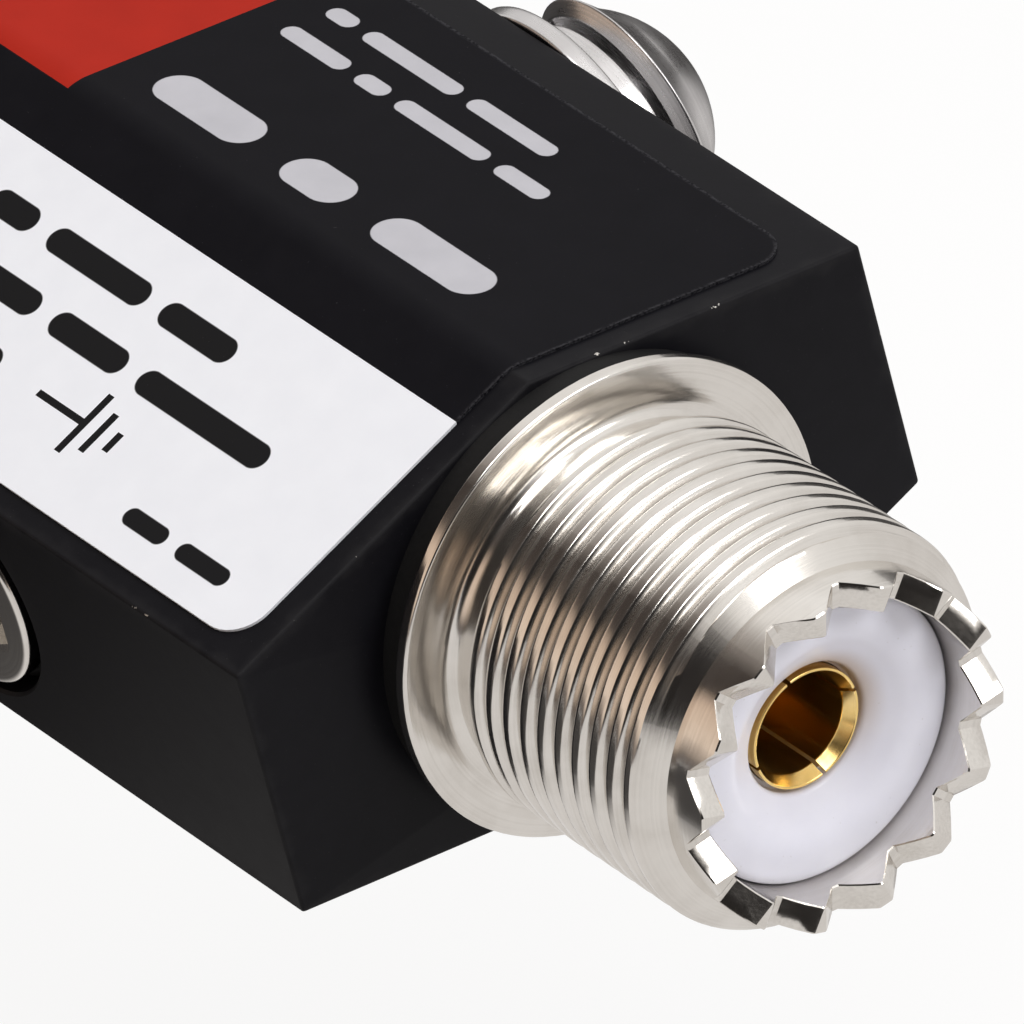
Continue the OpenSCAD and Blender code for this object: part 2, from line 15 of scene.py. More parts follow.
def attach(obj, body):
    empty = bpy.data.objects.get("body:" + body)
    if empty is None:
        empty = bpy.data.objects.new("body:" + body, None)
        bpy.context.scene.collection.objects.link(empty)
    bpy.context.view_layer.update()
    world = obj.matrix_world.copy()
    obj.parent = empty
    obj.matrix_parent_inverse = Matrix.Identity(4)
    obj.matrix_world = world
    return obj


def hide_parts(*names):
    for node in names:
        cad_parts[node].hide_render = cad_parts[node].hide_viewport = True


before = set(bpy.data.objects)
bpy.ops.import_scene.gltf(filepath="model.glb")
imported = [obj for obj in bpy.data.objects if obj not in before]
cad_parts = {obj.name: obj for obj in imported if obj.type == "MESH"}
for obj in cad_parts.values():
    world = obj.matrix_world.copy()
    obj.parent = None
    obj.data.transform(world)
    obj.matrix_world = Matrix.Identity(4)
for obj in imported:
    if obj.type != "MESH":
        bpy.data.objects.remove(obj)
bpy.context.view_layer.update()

LOG = logging.getLogger("arrestor")
MM = 0.001
Number = Union["Field", float]
Triple = tuple[float, float, float]
Colour = Triple
Path = list[tuple[float, float]]


@dataclass(frozen=True)
class Block:
    """Sizes of the housing's six-sided block, in millimetres.

    Attributes:
        start: Place of its plug end along the coax line.
        stop: Place of its socket end.
        half_w: Half of its width.
        half_h: Half of its height at the ridges.
        half_side: Half of the height of its flat sides.
    """

    start: float = 7.6
    stop: float = 46.0
    half_w: float = 14.7
    half_h: float = 9.5
    half_side: float = 5.75

    @property
    def middle(self) -> float:
        """Its middle along the coax line."""
        return (self.start + self.stop) / 2

    @property
    def slope(self) -> float:
        """Slope of its roof faces, in radians."""
        return math.atan2(self.half_h - self.half_side, self.half_w)


@dataclass(frozen=True)
class Sheet:
    """Sizes of the label sheet laid out flat, in millimetres.

    Attributes:
        start: Its first place along the coax line.
        stop: Its last place along the coax line.
        low: Its edge on the cap's side, measured from the fold.
        high: Its edge on the ground screw's side, measured from the fold.
        corner: Radius of its corners.
        thickness: Its thickness.
    """

    start: float = 8.7
    stop: float = 44.9
    low: float = -14.17
    high: float = 13.07
    corner: float = 1.6
    thickness: float = 0.12


BLOCK = Block()
SHEET = Sheet()


class Field:
    """A shader socket that takes part in Python arithmetic."""

    def __init__(self, graph: "Graph", socket: bpy.types.NodeSocket) -> None:
        """Keeps the socket and the graph that it belongs to."""
        self.graph = graph
        self.socket = socket

    def __add__(self, other: Number) -> "Field":
        """Sum."""
        return self.graph.math("ADD", self, other)

    def __radd__(self, other: Number) -> "Field":
        """Reflected sum."""
        return self.graph.math("ADD", other, self)

    def __sub__(self, other: Number) -> "Field":
        """Difference."""
        return self.graph.math("SUBTRACT", self, other)

    def __rsub__(self, other: Number) -> "Field":
        """Reflected difference."""
        return self.graph.math("SUBTRACT", other, self)

    def __mul__(self, other: Number) -> "Field":
        """Product."""
        return self.graph.math("MULTIPLY", self, other)

    def __rmul__(self, other: Number) -> "Field":
        """Reflected product."""
        return self.graph.math("MULTIPLY", other, self)

    def __truediv__(self, other: Number) -> "Field":
        """Quotient."""
        return self.graph.math("DIVIDE", self, other)

    def __abs__(self) -> "Field":
        """Size without the sign."""
        return self.graph.math("ABSOLUTE", self)

    def least(self, other: Number) -> "Field":
        """The smaller of two values."""
        return self.graph.math("MINIMUM", self, other)

    def most(self, other: Number) -> "Field":
        """The larger of two values."""
        return self.graph.math("MAXIMUM", self, other)

    def over(self, edge: Number) -> "Field":
        """1 where the value is above the edge, else 0."""
        return self.graph.math("GREATER_THAN", self, edge)

    def under(self, edge: Number) -> "Field":
        """1 where the value is below the edge, else 0."""
        return self.graph.math("LESS_THAN", self, edge)

    def between(self, low: float, high: float) -> "Field":
        """1 where the value lies between two edges, else 0."""
        return self.over(low) * self.under(high)

    def fade(self, low: float, high: float) -> "Field":
        """Smooth rise from 0 at low to 1 at high, or a fall where high is below low."""
        ramp = self.graph.node(
            "ShaderNodeMapRange",
            {"interpolation_type": "SMOOTHSTEP", "clamp": True},
            {0: self, 1: low, 2: high, 3: 0.0, 4: 1.0},
        )
        return self.graph.out(ramp, 0)


class Graph:
    """The node tree of one material or of the world."""

    def __init__(self, tree: bpy.types.NodeTree) -> None:
        """Starts with an empty tree."""
        self.tree = tree
        tree.nodes.clear()

    def node(
        self,
        kind: str,
        settings: Optional[Mapping[str, Any]] = None,
        inputs: Optional[Mapping[Union[str, int], Any]] = None,
    ) -> bpy.types.Node:
        """Adds one node.

        Args:
            kind: The node's type.
            settings: Its own settings, set first; "stops" holds a ramp's stops.
            inputs: Values or links of its sockets, by name or number.

        Returns:
            The new node.
        """
        made = self.tree.nodes.new(kind)
        for key, value in (settings or {}).items():
            if key == "stops":
                self._stops(made, value)
            else:
                setattr(made, key, value)
        for key, value in (inputs or {}).items():
            socket = made.inputs[key]
            if isinstance(value, Field):
                self.tree.links.new(value.socket, socket)
            elif isinstance(value, tuple) and len(value) == 3 and socket.type == "RGBA":
                socket.default_value = (*value, 1.0)
            else:
                socket.default_value = value
        return made

    def _stops(self, ramp: bpy.types.Node, stops: Sequence[tuple[float, Colour]]) -> None:
        """Sets the stops of a colour ramp."""
        elements = ramp.color_ramp.elements
        while len(elements) < len(stops):
            elements.new(0.5)
        for element, (place, colour) in zip(elements, stops):
            element.position = place
            element.color = (*colour, 1.0)

    def out(self, node: bpy.types.Node, name: Union[str, int] = 0) -> Field:
        """A node's output as a field."""
        return Field(self, node.outputs[name])

    def math(self, operation: str, *values: Number) -> Field:
        """One Math node on fields and numbers."""
        made = self.node("ShaderNodeMath", {"operation": operation}, dict(enumerate(values)))
        return self.out(made)

    def mix(self, share: Number, low: Any, high: Any) -> Field:
        """Blend of two colours by a share from 0 to 1."""
        made = self.node(
            "ShaderNodeMix", {"data_type": "RGBA"}, {0: share, 6: low, 7: high}
        )
        return self.out(made, 2)

    def place(self) -> Field:
        """The point on the surface, in millimetres of the part's own frame."""
        coords = self.out(self.node("ShaderNodeTexCoord"), "Object")
        scaled = self.node(
            "ShaderNodeVectorMath", {"operation": "SCALE"}, {0: coords, "Scale": 1 / MM}
        )
        return self.out(scaled)

    def parts(self, vector: Field) -> tuple[Field, Field, Field]:
        """The three numbers of a vector."""
        made = self.node("ShaderNodeSeparateXYZ", None, {0: vector})
        return self.out(made, 0), self.out(made, 1), self.out(made, 2)

    def vector(self, x: Number, y: Number, z: Number) -> Field:
        """A vector from three numbers."""
        return self.out(self.node("ShaderNodeCombineXYZ", None, {0: x, 1: y, 2: z}))

    def length(self, first: Field, second: Field) -> Field:
        """Length of a flat vector."""
        return self.math("SQRT", first * first + second * second)

    def noise(self, at: Field, scale: float, detail: float = 2.0) -> Field:
        """Soft noise from 0 to 1 at a point in millimetres."""
        made = self.node(
            "ShaderNodeTexNoise", None, {"Vector": at, "Scale": scale, "Detail": detail}
        )
        return self.out(made, 0)

    def bump(self, height: Field, strength: float, depth_mm: float) -> Field:
        """A normal bent by a height field from 0 to 1."""
        made = self.node(
            "ShaderNodeBump",
            None,
            {"Strength": strength, "Distance": depth_mm * MM, "Height": height},
        )
        return self.out(made)


class Turn(enum.Enum):
    """The axis about which a metal piece was turned."""

    COAX = "coax"
    SIDE = "side"


@dataclass(frozen=True)
class Finish:
    """A finish with its own node tree.

    Attributes:
        name: The material's name.
    """

    name: str

    def shade(self, g: Graph) -> dict[str, Any]:
        """The inputs of the surface shader.

        Args:
            g: The material's graph.

        Returns:
            Values and links by socket name.
        """
        raise NotImplementedError

    def material(self) -> bpy.types.Material:
        """The material, made once and then shared."""
        known = bpy.data.materials.get("look_" + self.name)
        if known:
            return known
        made = bpy.data.materials.new("look_" + self.name)
        made.use_nodes = True
        g = Graph(made.node_tree)
        shader = g.node("ShaderNodeBsdfPrincipled", None, self.shade(g))
        g.node("ShaderNodeOutputMaterial", None, {"Surface": g.out(shader)})
        return made


@dataclass(frozen=True)
class RootShade:
    """Where painted shade darkens the roots of a thread.

    Attributes:
        first: Place along the coax line where the thread starts.
        last: Place where it ends.
        crest: Radius of its crests.
        root: Radius of its roots.
        strength: Share of the painted shade at the very root.
    """

    first: float
    last: float
    crest: float
    root: float
    strength: float = 0.85

    def mask(self, along: Field, radius: Field) -> Field:
        """Share of painted shade at a place along the line and a radius."""
        low, high = sorted((self.crest, self.root))
        reach = along.between(self.first, self.last) * radius.between(low - 0.1, high + 0.1)
        fall = self.root - self.crest
        return reach * radius.fade(self.crest + 0.5 * fall, self.crest + 1.0 * fall) * self.strength


@dataclass(frozen=True)
class TurnedMetal(Finish):
    """Plated metal with the fine rings that a lathe leaves.

    Attributes:
        colour: Colour of the plate.
        shade_colour: Colour of its duller patches.
        gloss: Roughness where it is smoothest.
        spread: How much rougher its dull rings are.
        marks: Strength of the lathe rings.
        turn: The axis that the rings run round.
        middle: Place of that axis along the coax line, for side pieces.
        roots: Painted shade in a thread's roots, where the piece has a thread.
    """

    colour: Colour = (0.80, 0.775, 0.74)
    shade_colour: Colour = (0.68, 0.65, 0.61)
    gloss: float = 0.11
    spread: float = 0.10
    marks: float = 0.2
    turn: Turn = Turn.COAX
    middle: float = BLOCK.middle
    roots: Optional[RootShade] = None

    def shade(self, g: Graph) -> dict[str, Any]:
        """Rings, soft patches and small pits; see Finish.shade."""
        at = g.place()
        x, y, z = g.parts(at)
        if self.turn is Turn.COAX:
            along, radius = x, g.length(y, z)
        else:
            along, radius = y, g.length(x - self.middle, z)
        rings = g.noise(g.vector(radius * 9.0, along * 9.0, 0.0), 1.0, 3.0)
        patches = g.noise(at, 0.55, 3.0)
        grain = g.noise(at, 14.0, 2.0)
        dull = (patches * 0.6 + rings * 0.4).fade(0.35, 0.75)
        height = rings * 0.9 + grain * 0.1
        colour = g.mix(dull, self.colour, self.shade_colour)
        rough = self.gloss + self.spread * dull + 0.05 * grain
        if self.roots:
            # Painted shade: the thread's roots are darkened to near black and made rougher.
            root_shade = self.roots.mask(along, radius)
            colour = g.mix(root_shade, colour, (0.075, 0.062, 0.054))
            rough = rough + 0.3 * root_shade
        return {
            "Base Color": colour,
            "Metallic": 1.0,
            "Roughness": rough,
            "Normal": g.bump(height, self.marks, 0.012),
        }


@dataclass(frozen=True)
class BlackPaint(Finish):
    """Semi-gloss paint with a faint orange peel, dust and chips along the edges.

    Attributes:
        block: Sizes of the block that it covers.
    """

    block: Block = BLOCK

    def shade(self, g: Graph) -> dict[str, Any]:
        """Paint over metal that shows at the chips; see Finish.shade."""
        at = g.place()
        x, y, z = g.parts(at)
        block = self.block
        end = (x - block.start).least(block.stop - x)
        side = block.half_w - abs(y)
        roof = (block.half_h - abs(z)) * math.cos(block.slope) - abs(y) * math.sin(block.slope)
        ridge = roof + abs(y) * 0.6
        edge = (end + side.least(roof)).least(side + roof).least(ridge)
        coarse = g.noise(at, 0.9, 4.0)
        fine = g.noise(at, 5.0, 3.0)
        chip_size = (coarse - 0.60) * 2.6 + (fine - 0.5) * 0.9
        chip = (chip_size - edge * 2.6).fade(0.02, 0.10)
        rub = (0.55 - edge + (coarse - 0.5) * 1.2).fade(0.0, 0.6)
        dust = g.noise(at, 11.0, 1.0).fade(0.735, 0.79)
        peel = g.noise(at, 2.2, 2.0)
        base = g.mix(coarse, (0.0044, 0.0043, 0.0060), (0.0074, 0.0072, 0.0094))
        base = g.mix(rub * 0.4, base, (0.020, 0.0195, 0.021))
        base = g.mix(dust * 0.2, base, (0.10, 0.10, 0.105))
        base = g.mix(chip, base, (0.52, 0.50, 0.47))
        height = peel * 0.6 + fine * 0.25 - chip * 0.9
        return {
            "Base Color": base,
            "Metallic": chip,
            "Roughness": 0.36 + 0.10 * coarse + 0.10 * rub + 0.25 * dust,
            "Specular IOR Level": 0.08,
            "Normal": g.bump(height, 0.16, 0.03),
        }


@dataclass(frozen=True)
class Dashes:
    """A row of round-ended dashes that stands for a row of print.

    Attributes:
        middle: Place of the row across the sheet.
        height: Height of the dashes.
        spans: First and last place of each dash along the coax line.
    """

    middle: float
    height: float
    spans: tuple[tuple[float, float], ...]

    def mask(self, x: Field, s: Field) -> Field:
        """1 on the dashes, else 0.

        Args:
            x: Place along the coax line.
            s: Place across the sheet.

        Returns:
            The mask.
        """
        half = self.height / 2
        off = s - self.middle
        across = off * off
        dashes = []
        for first, last in self.spans:
            reach = (last - first) / 2 - half
            past = (abs(x - (first + last) / 2) - reach).most(0.0)
            dashes.append((past * past + across).fade((half + 0.03) ** 2, (half - 0.03) ** 2))
        return functools.reduce(Field.most, dashes)


@dataclass(frozen=True)
class PrintedFilm(Finish):
    """Printed label sheet: a white field, a black field and a red block, with plain dashes.

    Attributes:
        slope: Slope of the roof faces that the sheet lies on.
        sheet: Sizes of the sheet.
        white_edge: Distance of the white field from the fold.
        red_edge: Place across the sheet where the red block starts.
        red_end: Place along the coax line where the red block ends.
        earth: Foot of the earth sign's stem, along the coax line and across it.
        stem: Length of that stem.
        bars: Half of the width of each of the earth sign's bars.
        dark: Rows on the white field.
        silver: Rows on the black field.
    """

    slope: float = BLOCK.slope
    sheet: Sheet = SHEET
    white_edge: float = 2.8
    red_edge: float = -0.4
    red_end: float = 19.1
    earth: tuple[float, float] = (31.6, -10.6)
    stem: float = 2.6
    bars: tuple[float, ...] = (1.45, 0.95, 0.45)
    dark: tuple[Dashes, ...] = (
        Dashes(-5.4, 1.15, ((9.6, 13.0), (13.9, 19.4), (20.3, 22.9), (23.8, 29.6), (30.5, 34.7))),
        Dashes(-8.0, 1.15, ((9.6, 15.2), (16.1, 18.4), (19.3, 26.0), (26.9, 31.2), (32.1, 39.6))),
        Dashes(-10.6, 1.15, ((9.6, 12.1), (13.0, 20.6), (21.5, 26.6))),
        Dashes(-12.5, 0.8, ((36.4, 38.8), (39.5, 42.4))),
    )
    silver: tuple[Dashes, ...] = (
        Dashes(2.6, 2.0, ((21.0, 26.6), (28.6, 32.0), (34.0, 40.2))),
        Dashes(8.3, 0.85, ((20.9, 24.6), (25.3, 27.0), (27.7, 32.9), (33.6, 36.4))),
        Dashes(10.4, 0.85, ((20.9, 22.4), (23.1, 28.6), (29.3, 34.2))),
    )

    def _rows(self, x: Field, s: Field, rows: Sequence[Dashes]) -> Field:
        """All rows of one colour."""
        return functools.reduce(Field.most, [row.mask(x, s) for row in rows])

    def _rim(self, g: Graph, x: Field, s: Field) -> Field:
        """1 along the cut edge of the sheet, else 0."""
        sheet, corner = self.sheet, self.sheet.corner
        along = abs(x - (sheet.start + sheet.stop) / 2) - ((sheet.stop - sheet.start) / 2 - corner)
        across = abs(s - (sheet.low + sheet.high) / 2) - ((sheet.high - sheet.low) / 2 - corner)
        depth = g.length(along.most(0.0), across.most(0.0)) + along.most(across).least(0.0)
        return depth.fade(corner - 0.16, corner - 0.02)

    def _earth(self, x: Field, s: Field) -> Field:
        """The plain sign for an earth connection: a stem and three shrinking bars."""
        foot, middle = self.earth
        sign = x.between(foot - self.stem, foot) * s.between(middle - 0.15, middle + 0.15)
        for k, half in enumerate(self.bars):
            start = foot + 0.85 * k
            bar = x.between(start, start + 0.33) * s.between(middle - half, middle + half)
            sign = sign.most(bar)
        return sign

    def shade(self, g: Graph) -> dict[str, Any]:
        """The three fields and their dashes; see Finish.shade."""
        at = g.place()
        x, y, _ = g.parts(at)
        s = y / math.cos(self.slope)
        soft = g.noise(at, 0.6, 3.0)
        speck = g.noise(at, 9.0, 2.0)
        white = s.under(-self.white_edge)
        red = s.over(self.red_edge) * x.under(self.red_end)
        dark = self._rows(x, s, self.dark).most(self._earth(x, s)) * white
        silver = self._rows(x, s, self.silver) * (1.0 - red)
        black = g.mix(soft, (0.0046, 0.0045, 0.0062), (0.0078, 0.0075, 0.0098))
        colour = g.mix(red, black, g.mix(soft, (0.325, 0.0165, 0.009), (0.395, 0.0225, 0.0125)))
        colour = g.mix(silver, colour, g.mix(soft, (0.40, 0.40, 0.435), (0.49, 0.49, 0.53)))
        colour = g.mix(white, colour, g.mix(soft, (0.76, 0.785, 0.845), (0.82, 0.845, 0.90)))
        colour = g.mix(dark, colour, (0.012, 0.012, 0.013))
        edge = self._rim(g, x, s) * speck.fade(0.35, 0.6) * (1.0 - white)
        colour = g.mix(edge * 0.3, colour, (0.09, 0.09, 0.10))
        colour = g.mix(speck.fade(0.74, 0.8) * 0.08, colour, (0.4, 0.4, 0.42))
        return {
            "Base Color": colour,
            "Roughness": 0.36 + 0.08 * soft + 0.06 * speck,
            "Specular IOR Level": 0.03,
            "Normal": g.bump(soft * 0.7 + speck * 0.3, 0.06, 0.03),
        }


@dataclass(frozen=True)
class MouldedWhite(Finish):
    """White moulded insulator with faint flow shades and small specks.

    Attributes:
        painted_tint_r: Radius at which the painted shade and gold reflection round the contact have
            faded out.
        contact_r: Radius of the contact.
    """

    painted_tint_r: float = 3.5
    contact_r: float = 2.4

    def shade(self, g: Graph) -> dict[str, Any]:
        """Near white with a cool cast, with a painted warm shade and gold reflection close to the
        contact; see Finish.shade.
        """
        at = g.place()
        _, y, z = g.parts(at)
        radius = g.length(y, z)
        # Painted shade and gold reflection round the contact: a warm tint, strongest towards +Y and
        # +Z, where the recess wall lies in shade.
        shaded_side = ((y * 0.8 + z * 0.6) / radius).fade(-0.3, 0.95)
        painted_bounce = radius.fade(self.painted_tint_r, self.contact_r) * (0.04 + 0.96 * shaded_side)
        cloud = g.noise(at, 0.7, 3.0)
        speck = g.noise(at, 7.0, 1.0).fade(0.76, 0.80)
        colour = g.mix(cloud, (0.70, 0.705, 0.80), (0.77, 0.775, 0.865))
        colour = g.mix(painted_bounce * 0.75, colour, (0.40, 0.27, 0.16))
        return {
            "Base Color": g.mix(speck * 0.35, colour, (0.45, 0.43, 0.43)),
            "Roughness": 0.26 + 0.14 * cloud,
            "Specular IOR Level": 0.5,
            "Subsurface Weight": 0.12,
            "Subsurface Radius": (0.0006, 0.0006, 0.0007),
            "Normal": g.bump(g.noise(at, 3.0, 2.0), 0.06, 0.02),
        }


@dataclass(frozen=True)
class MattRubber(Finish):
    """Black rubber with a dry, slightly dusty skin."""

    def shade(self, g: Graph) -> dict[str, Any]:
        """Dark and rough, greyer where it is dusty; see Finish.shade."""
        at = g.place()
        skin = g.noise(at, 6.0, 4.0)
        return {
            "Base Color": g.mix(skin, (0.004, 0.004, 0.0045), (0.012, 0.0118, 0.012)),
            "Roughness": 0.55 + 0.2 * skin,
            "Specular IOR Level": 0.15,
            "Normal": g.bump(skin, 0.3, 0.03),
        }


@dataclass(frozen=True)
class FiredCeramic(Finish):
    """Plain fired ceramic with a fine grain."""

    def shade(self, g: Graph) -> dict[str, Any]:
        """Warm white with grain; see Finish.shade."""
        at = g.place()
        grain = g.noise(at, 8.0, 4.0)
        return {
            "Base Color": g.mix(grain, (0.80, 0.77, 0.70), (0.87, 0.85, 0.80)),
            "Roughness": 0.45 + 0.2 * grain,
            "Normal": g.bump(grain, 0.15, 0.02),
        }


class Finishes:
    """The finishes of the part, by what they cover."""

    nickel = TurnedMetal("nickel_plate")
    nickel_thread = TurnedMetal("nickel_plate_thread", roots=RootShade(49.15, 58.8, 8.0, 7.55))
    nickel_ring = TurnedMetal("nickel_plate_ring", roots=RootShade(-9.3, -0.5, 7.46, 8.05))
    nickel_side = TurnedMetal("nickel_plate_side", turn=Turn.SIDE)
    gold = TurnedMetal(
        "gold_plate", (1.0, 0.74, 0.30), (0.86, 0.56, 0.17), 0.14, 0.12, 0.12
    )
    brass = TurnedMetal(
        "bare_brass", (0.78, 0.58, 0.28), (0.62, 0.43, 0.19), 0.24, 0.2, 0.3
    )
    steel = TurnedMetal(
        "plated_steel", (0.66, 0.65, 0.655), (0.52, 0.51, 0.515), 0.22, 0.16, 0.25, Turn.SIDE
    )
    clip_steel = TurnedMetal(
        "clip_steel", (0.52, 0.50, 0.48), (0.40, 0.38, 0.36), 0.28, 0.2, 0.3
    )
    paint = BlackPaint("black_paint")
    film = PrintedFilm("printed_film")
    white = MouldedWhite("white_insulator")
    rubber = MattRubber("black_rubber")
    ceramic = FiredCeramic("tube_ceramic")


class Axis(enum.Enum):
    """The four ways in which turned pieces stand out of the housing."""

    SOCKET = ((BLOCK.stop, 0, 0), (1, 0, 0), (0, 1, 0), (0, 0, 1))
    PLUG = ((BLOCK.start, 0, 0), (-1, 0, 0), (0, 1, 0), (0, 0, -1))
    GROUND = ((BLOCK.middle, 0, 0), (0, 1, 0), (1, 0, 0), (0, 0, -1))
    CAP = ((BLOCK.middle, 0, 0), (0, -1, 0), (1, 0, 0), (0, 0, 1))

    def point(self, radius: float, along: float, angle: float) -> Vector:
        """A point round this axis.

        Args:
            radius: Distance from the axis.
            along: Distance outward along it.
            angle: Angle round it, in radians.

        Returns:
            The point in millimetres of the part's frame.
        """
        origin, out, right, up = (Vector(v) for v in self.value)
        return (
            origin
            + out * along
            + right * (radius * math.cos(angle))
            + up * (radius * math.sin(angle))
        )

    def ring(self, radius: float, along: float, angles: Sequence[float]) -> list[Vector]:
        """Points at one radius and one distance, by angle."""
        return [self.point(radius, along, t) for t in angles]


def full_turn(steps: int, ends: bool = False) -> list[float]:
    """Angles over one full turn; with ends, the last one meets the first again."""
    return [2 * math.pi * i / steps for i in range(steps + 1 if ends else steps)]


def rounded(corners: Sequence[Triple], steps: int = 4, closed: bool = True) -> Path:
    """A path with its corners rounded, and held flat just outside each rounding.

    Args:
        corners: Radius, distance and rounding of each corner.
        steps: Number of steps in a rounding.
        closed: Whether the last corner joins the first.

    Returns:
        The points of the path.
    """
    path: Path = []
    count = len(corners)
    for i, (r, a, rounding) in enumerate(corners):
        here = Vector((r, a))
        if rounding <= 0 or (not closed and i in (0, count - 1)):
            path.append((r, a))
            continue
        before = Vector(corners[i - 1][:2]) - here
        after = Vector(corners[(i + 1) % count][:2]) - here
        half = before.angle(after) / 2
        reach = min(rounding / math.tan(half), before.length * 0.48, after.length * 0.48)
        back, onward = before.normalized(), after.normalized()
        shares = [k / steps for k in range(steps + 1)]
        bend = [here + back * reach * (1 - t) ** 2 + onward * reach * t**2 for t in shares]
        held = reach * 1.2 + 0.02
        if held < before.length * 0.5:
            bend.insert(0, here + back * held)
        if held < after.length * 0.5:
            bend.append(here + onward * held)
        path.extend((p.x, p.y) for p in bend)
    return path


@dataclass
class Draft:
    """Points and faces of a piece in millimetres, before it becomes a mesh."""

    points: list[Vector] = field(default_factory=list)
    faces: list[tuple[int, ...]] = field(default_factory=list)

    def skin(
        self,
        rings: Sequence[Sequence[Vector]],
        closed: bool = True,
        looped: bool = False,
        capped: bool = False,
    ) -> "Draft":
        """Joins rings of equal length by quads.

        Args:
            rings: The rings, in order.
            closed: Whether each ring closes on itself.
            looped: Whether the last ring joins the first.
            capped: Whether the first and last rings are filled.

        Returns:
            This draft.
        """
        base, n, rows = len(self.points), len(rings[0]), len(rings)
        for ring in rings:
            self.points.extend(ring)
        for j in range(rows if looped else rows - 1):
            low, high = base + j * n, base + (j + 1) % rows * n
            for i in range(n if closed else n - 1):
                k = (i + 1) % n
                self.faces.append((low + i, low + k, high + k, high + i))
        if capped:
            self.faces.append(tuple(base + i for i in reversed(range(n))))
            self.faces.append(tuple(base + (rows - 1) * n + i for i in range(n)))
        return self

    def turned(
        self,
        axis: Axis,
        path: Path,
        segments: int = 96,
        arc: Optional[tuple[float, float]] = None,
        looped: bool = True,
    ) -> "Draft":
        """Turns a path of radius and distance about an axis.

        Args:
            axis: The axis.
            path: The section.
            segments: Number of steps round the axis.
            arc: First and last angle of an open sweep, or None for a full turn.
            looped: Whether the section closes on itself.

        Returns:
            This draft.
        """
        if arc is None:
            angles = full_turn(segments)
            return self.skin([axis.ring(r, a, angles) for r, a in path], looped=looped)
        first, last = arc
        angles = [first + (last - first) * i / segments for i in range(segments + 1)]
        return self.skin([[axis.point(r, a, t) for r, a in path] for t in angles], capped=True)

    def piece(
        self,
        name: str,
        finish: Finish,
        body: str,
        slot: str,
        nodes: Sequence[str],
        sharp: float = 35.0,
    ) -> bpy.types.Object:
        """Makes the piece and gives it its place in the frame.

        Args:
            name: The piece's name.
            finish: Its finish.
            body: The body that it rides on.
            slot: Name of a material slot; not used.
            nodes: The solids that it stands for.
            sharp: Edges bent by more degrees than this stay sharp.

        Returns:
            The new object.
        """
        made = self.bare(name, sharp)
        made.data.materials.append(finish.material())
        return settle(made, body, nodes)

    def bare(self, name: str, sharp: float = 35.0) -> bpy.types.Object:
        """Makes an object with no finish and no place yet."""
        mesh = bpy.data.meshes.new(name)
        mesh.from_pydata([tuple(p * MM) for p in self.points], [], self.faces)
        tidy = bmesh.new()
        tidy.from_mesh(mesh)
        bmesh.ops.remove_doubles(tidy, verts=tidy.verts, dist=1e-7)
        bmesh.ops.dissolve_degenerate(tidy, edges=tidy.edges, dist=1e-8)
        bmesh.ops.recalc_face_normals(tidy, faces=tidy.faces)
        tidy.to_mesh(mesh)
        tidy.free()
        mesh.shade_smooth()
        mesh.set_sharp_from_angle(angle=math.radians(sharp))
        made = bpy.data.objects.new(name, mesh)
        bpy.context.scene.collection.objects.link(made)
        return made


def settle(piece: bpy.types.Object, body: str, nodes: Sequence[str]) -> bpy.types.Object:
    """Puts a piece on its body, in place of its solids, and reports it."""
    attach(piece, body)
    if nodes:
        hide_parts(*nodes)
    LOG.info("%s: %d faces on %s", piece.name, len(piece.data.polygons), body)
    return piece


def dress(node: str, finish: Finish) -> None:
    """Gives a carried-over solid its finish and reports it."""
    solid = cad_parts[node]
    solid.data.materials.clear()
    solid.data.materials.append(finish.material())
    LOG.info("%s: solid kept, %s", node, finish.name)


def cut_out(block: bpy.types.Object, cutter: bpy.types.Object) -> None:
    """Takes a cutter out of a block for good."""
    cut = block.modifiers.new("cut", "BOOLEAN")
    cut.operation = "DIFFERENCE"
    cut.solver = "EXACT"
    cut.object = cutter
    bpy.context.view_layer.update()
    done = bpy.data.meshes.new_from_object(
        block.evaluated_get(bpy.context.evaluated_depsgraph_get())
    )
    block.modifiers.clear()
    old, block.data = block.data, done
    bpy.data.meshes.remove(old)
    bpy.data.objects.remove(cutter)


@dataclass(frozen=True)
class Thread:
    """A right-hand thread between two places along an axis.

    Attributes:
        axis: The axis that it runs round.
        low: Where it starts.
        high: Where it ends.
        pitch: Its pitch.
        radius: Radius by place along the axis and by share of the pitch from a groove's middle.
    """

    axis: Axis
    low: float
    high: float
    pitch: float
    radius: Callable[[float, float], float]

    def rows(self, angles: Sequence[float]) -> list[list[Vector]]:
        """Rows that follow the thread.

        Args:
            angles: Angles of the columns, over one full turn.

        Returns:
            The rows, from low to high.
        """
        shares = (0.0, 0.06, 0.13, 0.20, 0.25, 0.30, 0.40, 0.5, 0.60, 0.70, 0.75, 0.80, 0.87, 0.94)
        turns = [(t - angles[0]) / (2 * math.pi) for t in angles]
        rows: list[list[Vector]] = []
        for n in range(-1, int((self.high - self.low) / self.pitch) + 2):
            for share in shares:
                base = self.low + (n + share) * self.pitch
                row = []
                for t, turn in zip(angles, turns):
                    along = min(max(base + turn * self.pitch, self.low), self.high)
                    off = ((along - self.low) / self.pitch - turn) % 1.0
                    row.append(self.axis.point(self.radius(along, min(off, 1.0 - off)), along, t))
                rows.append(row)
                if base >= self.high:
                    return rows
        return rows


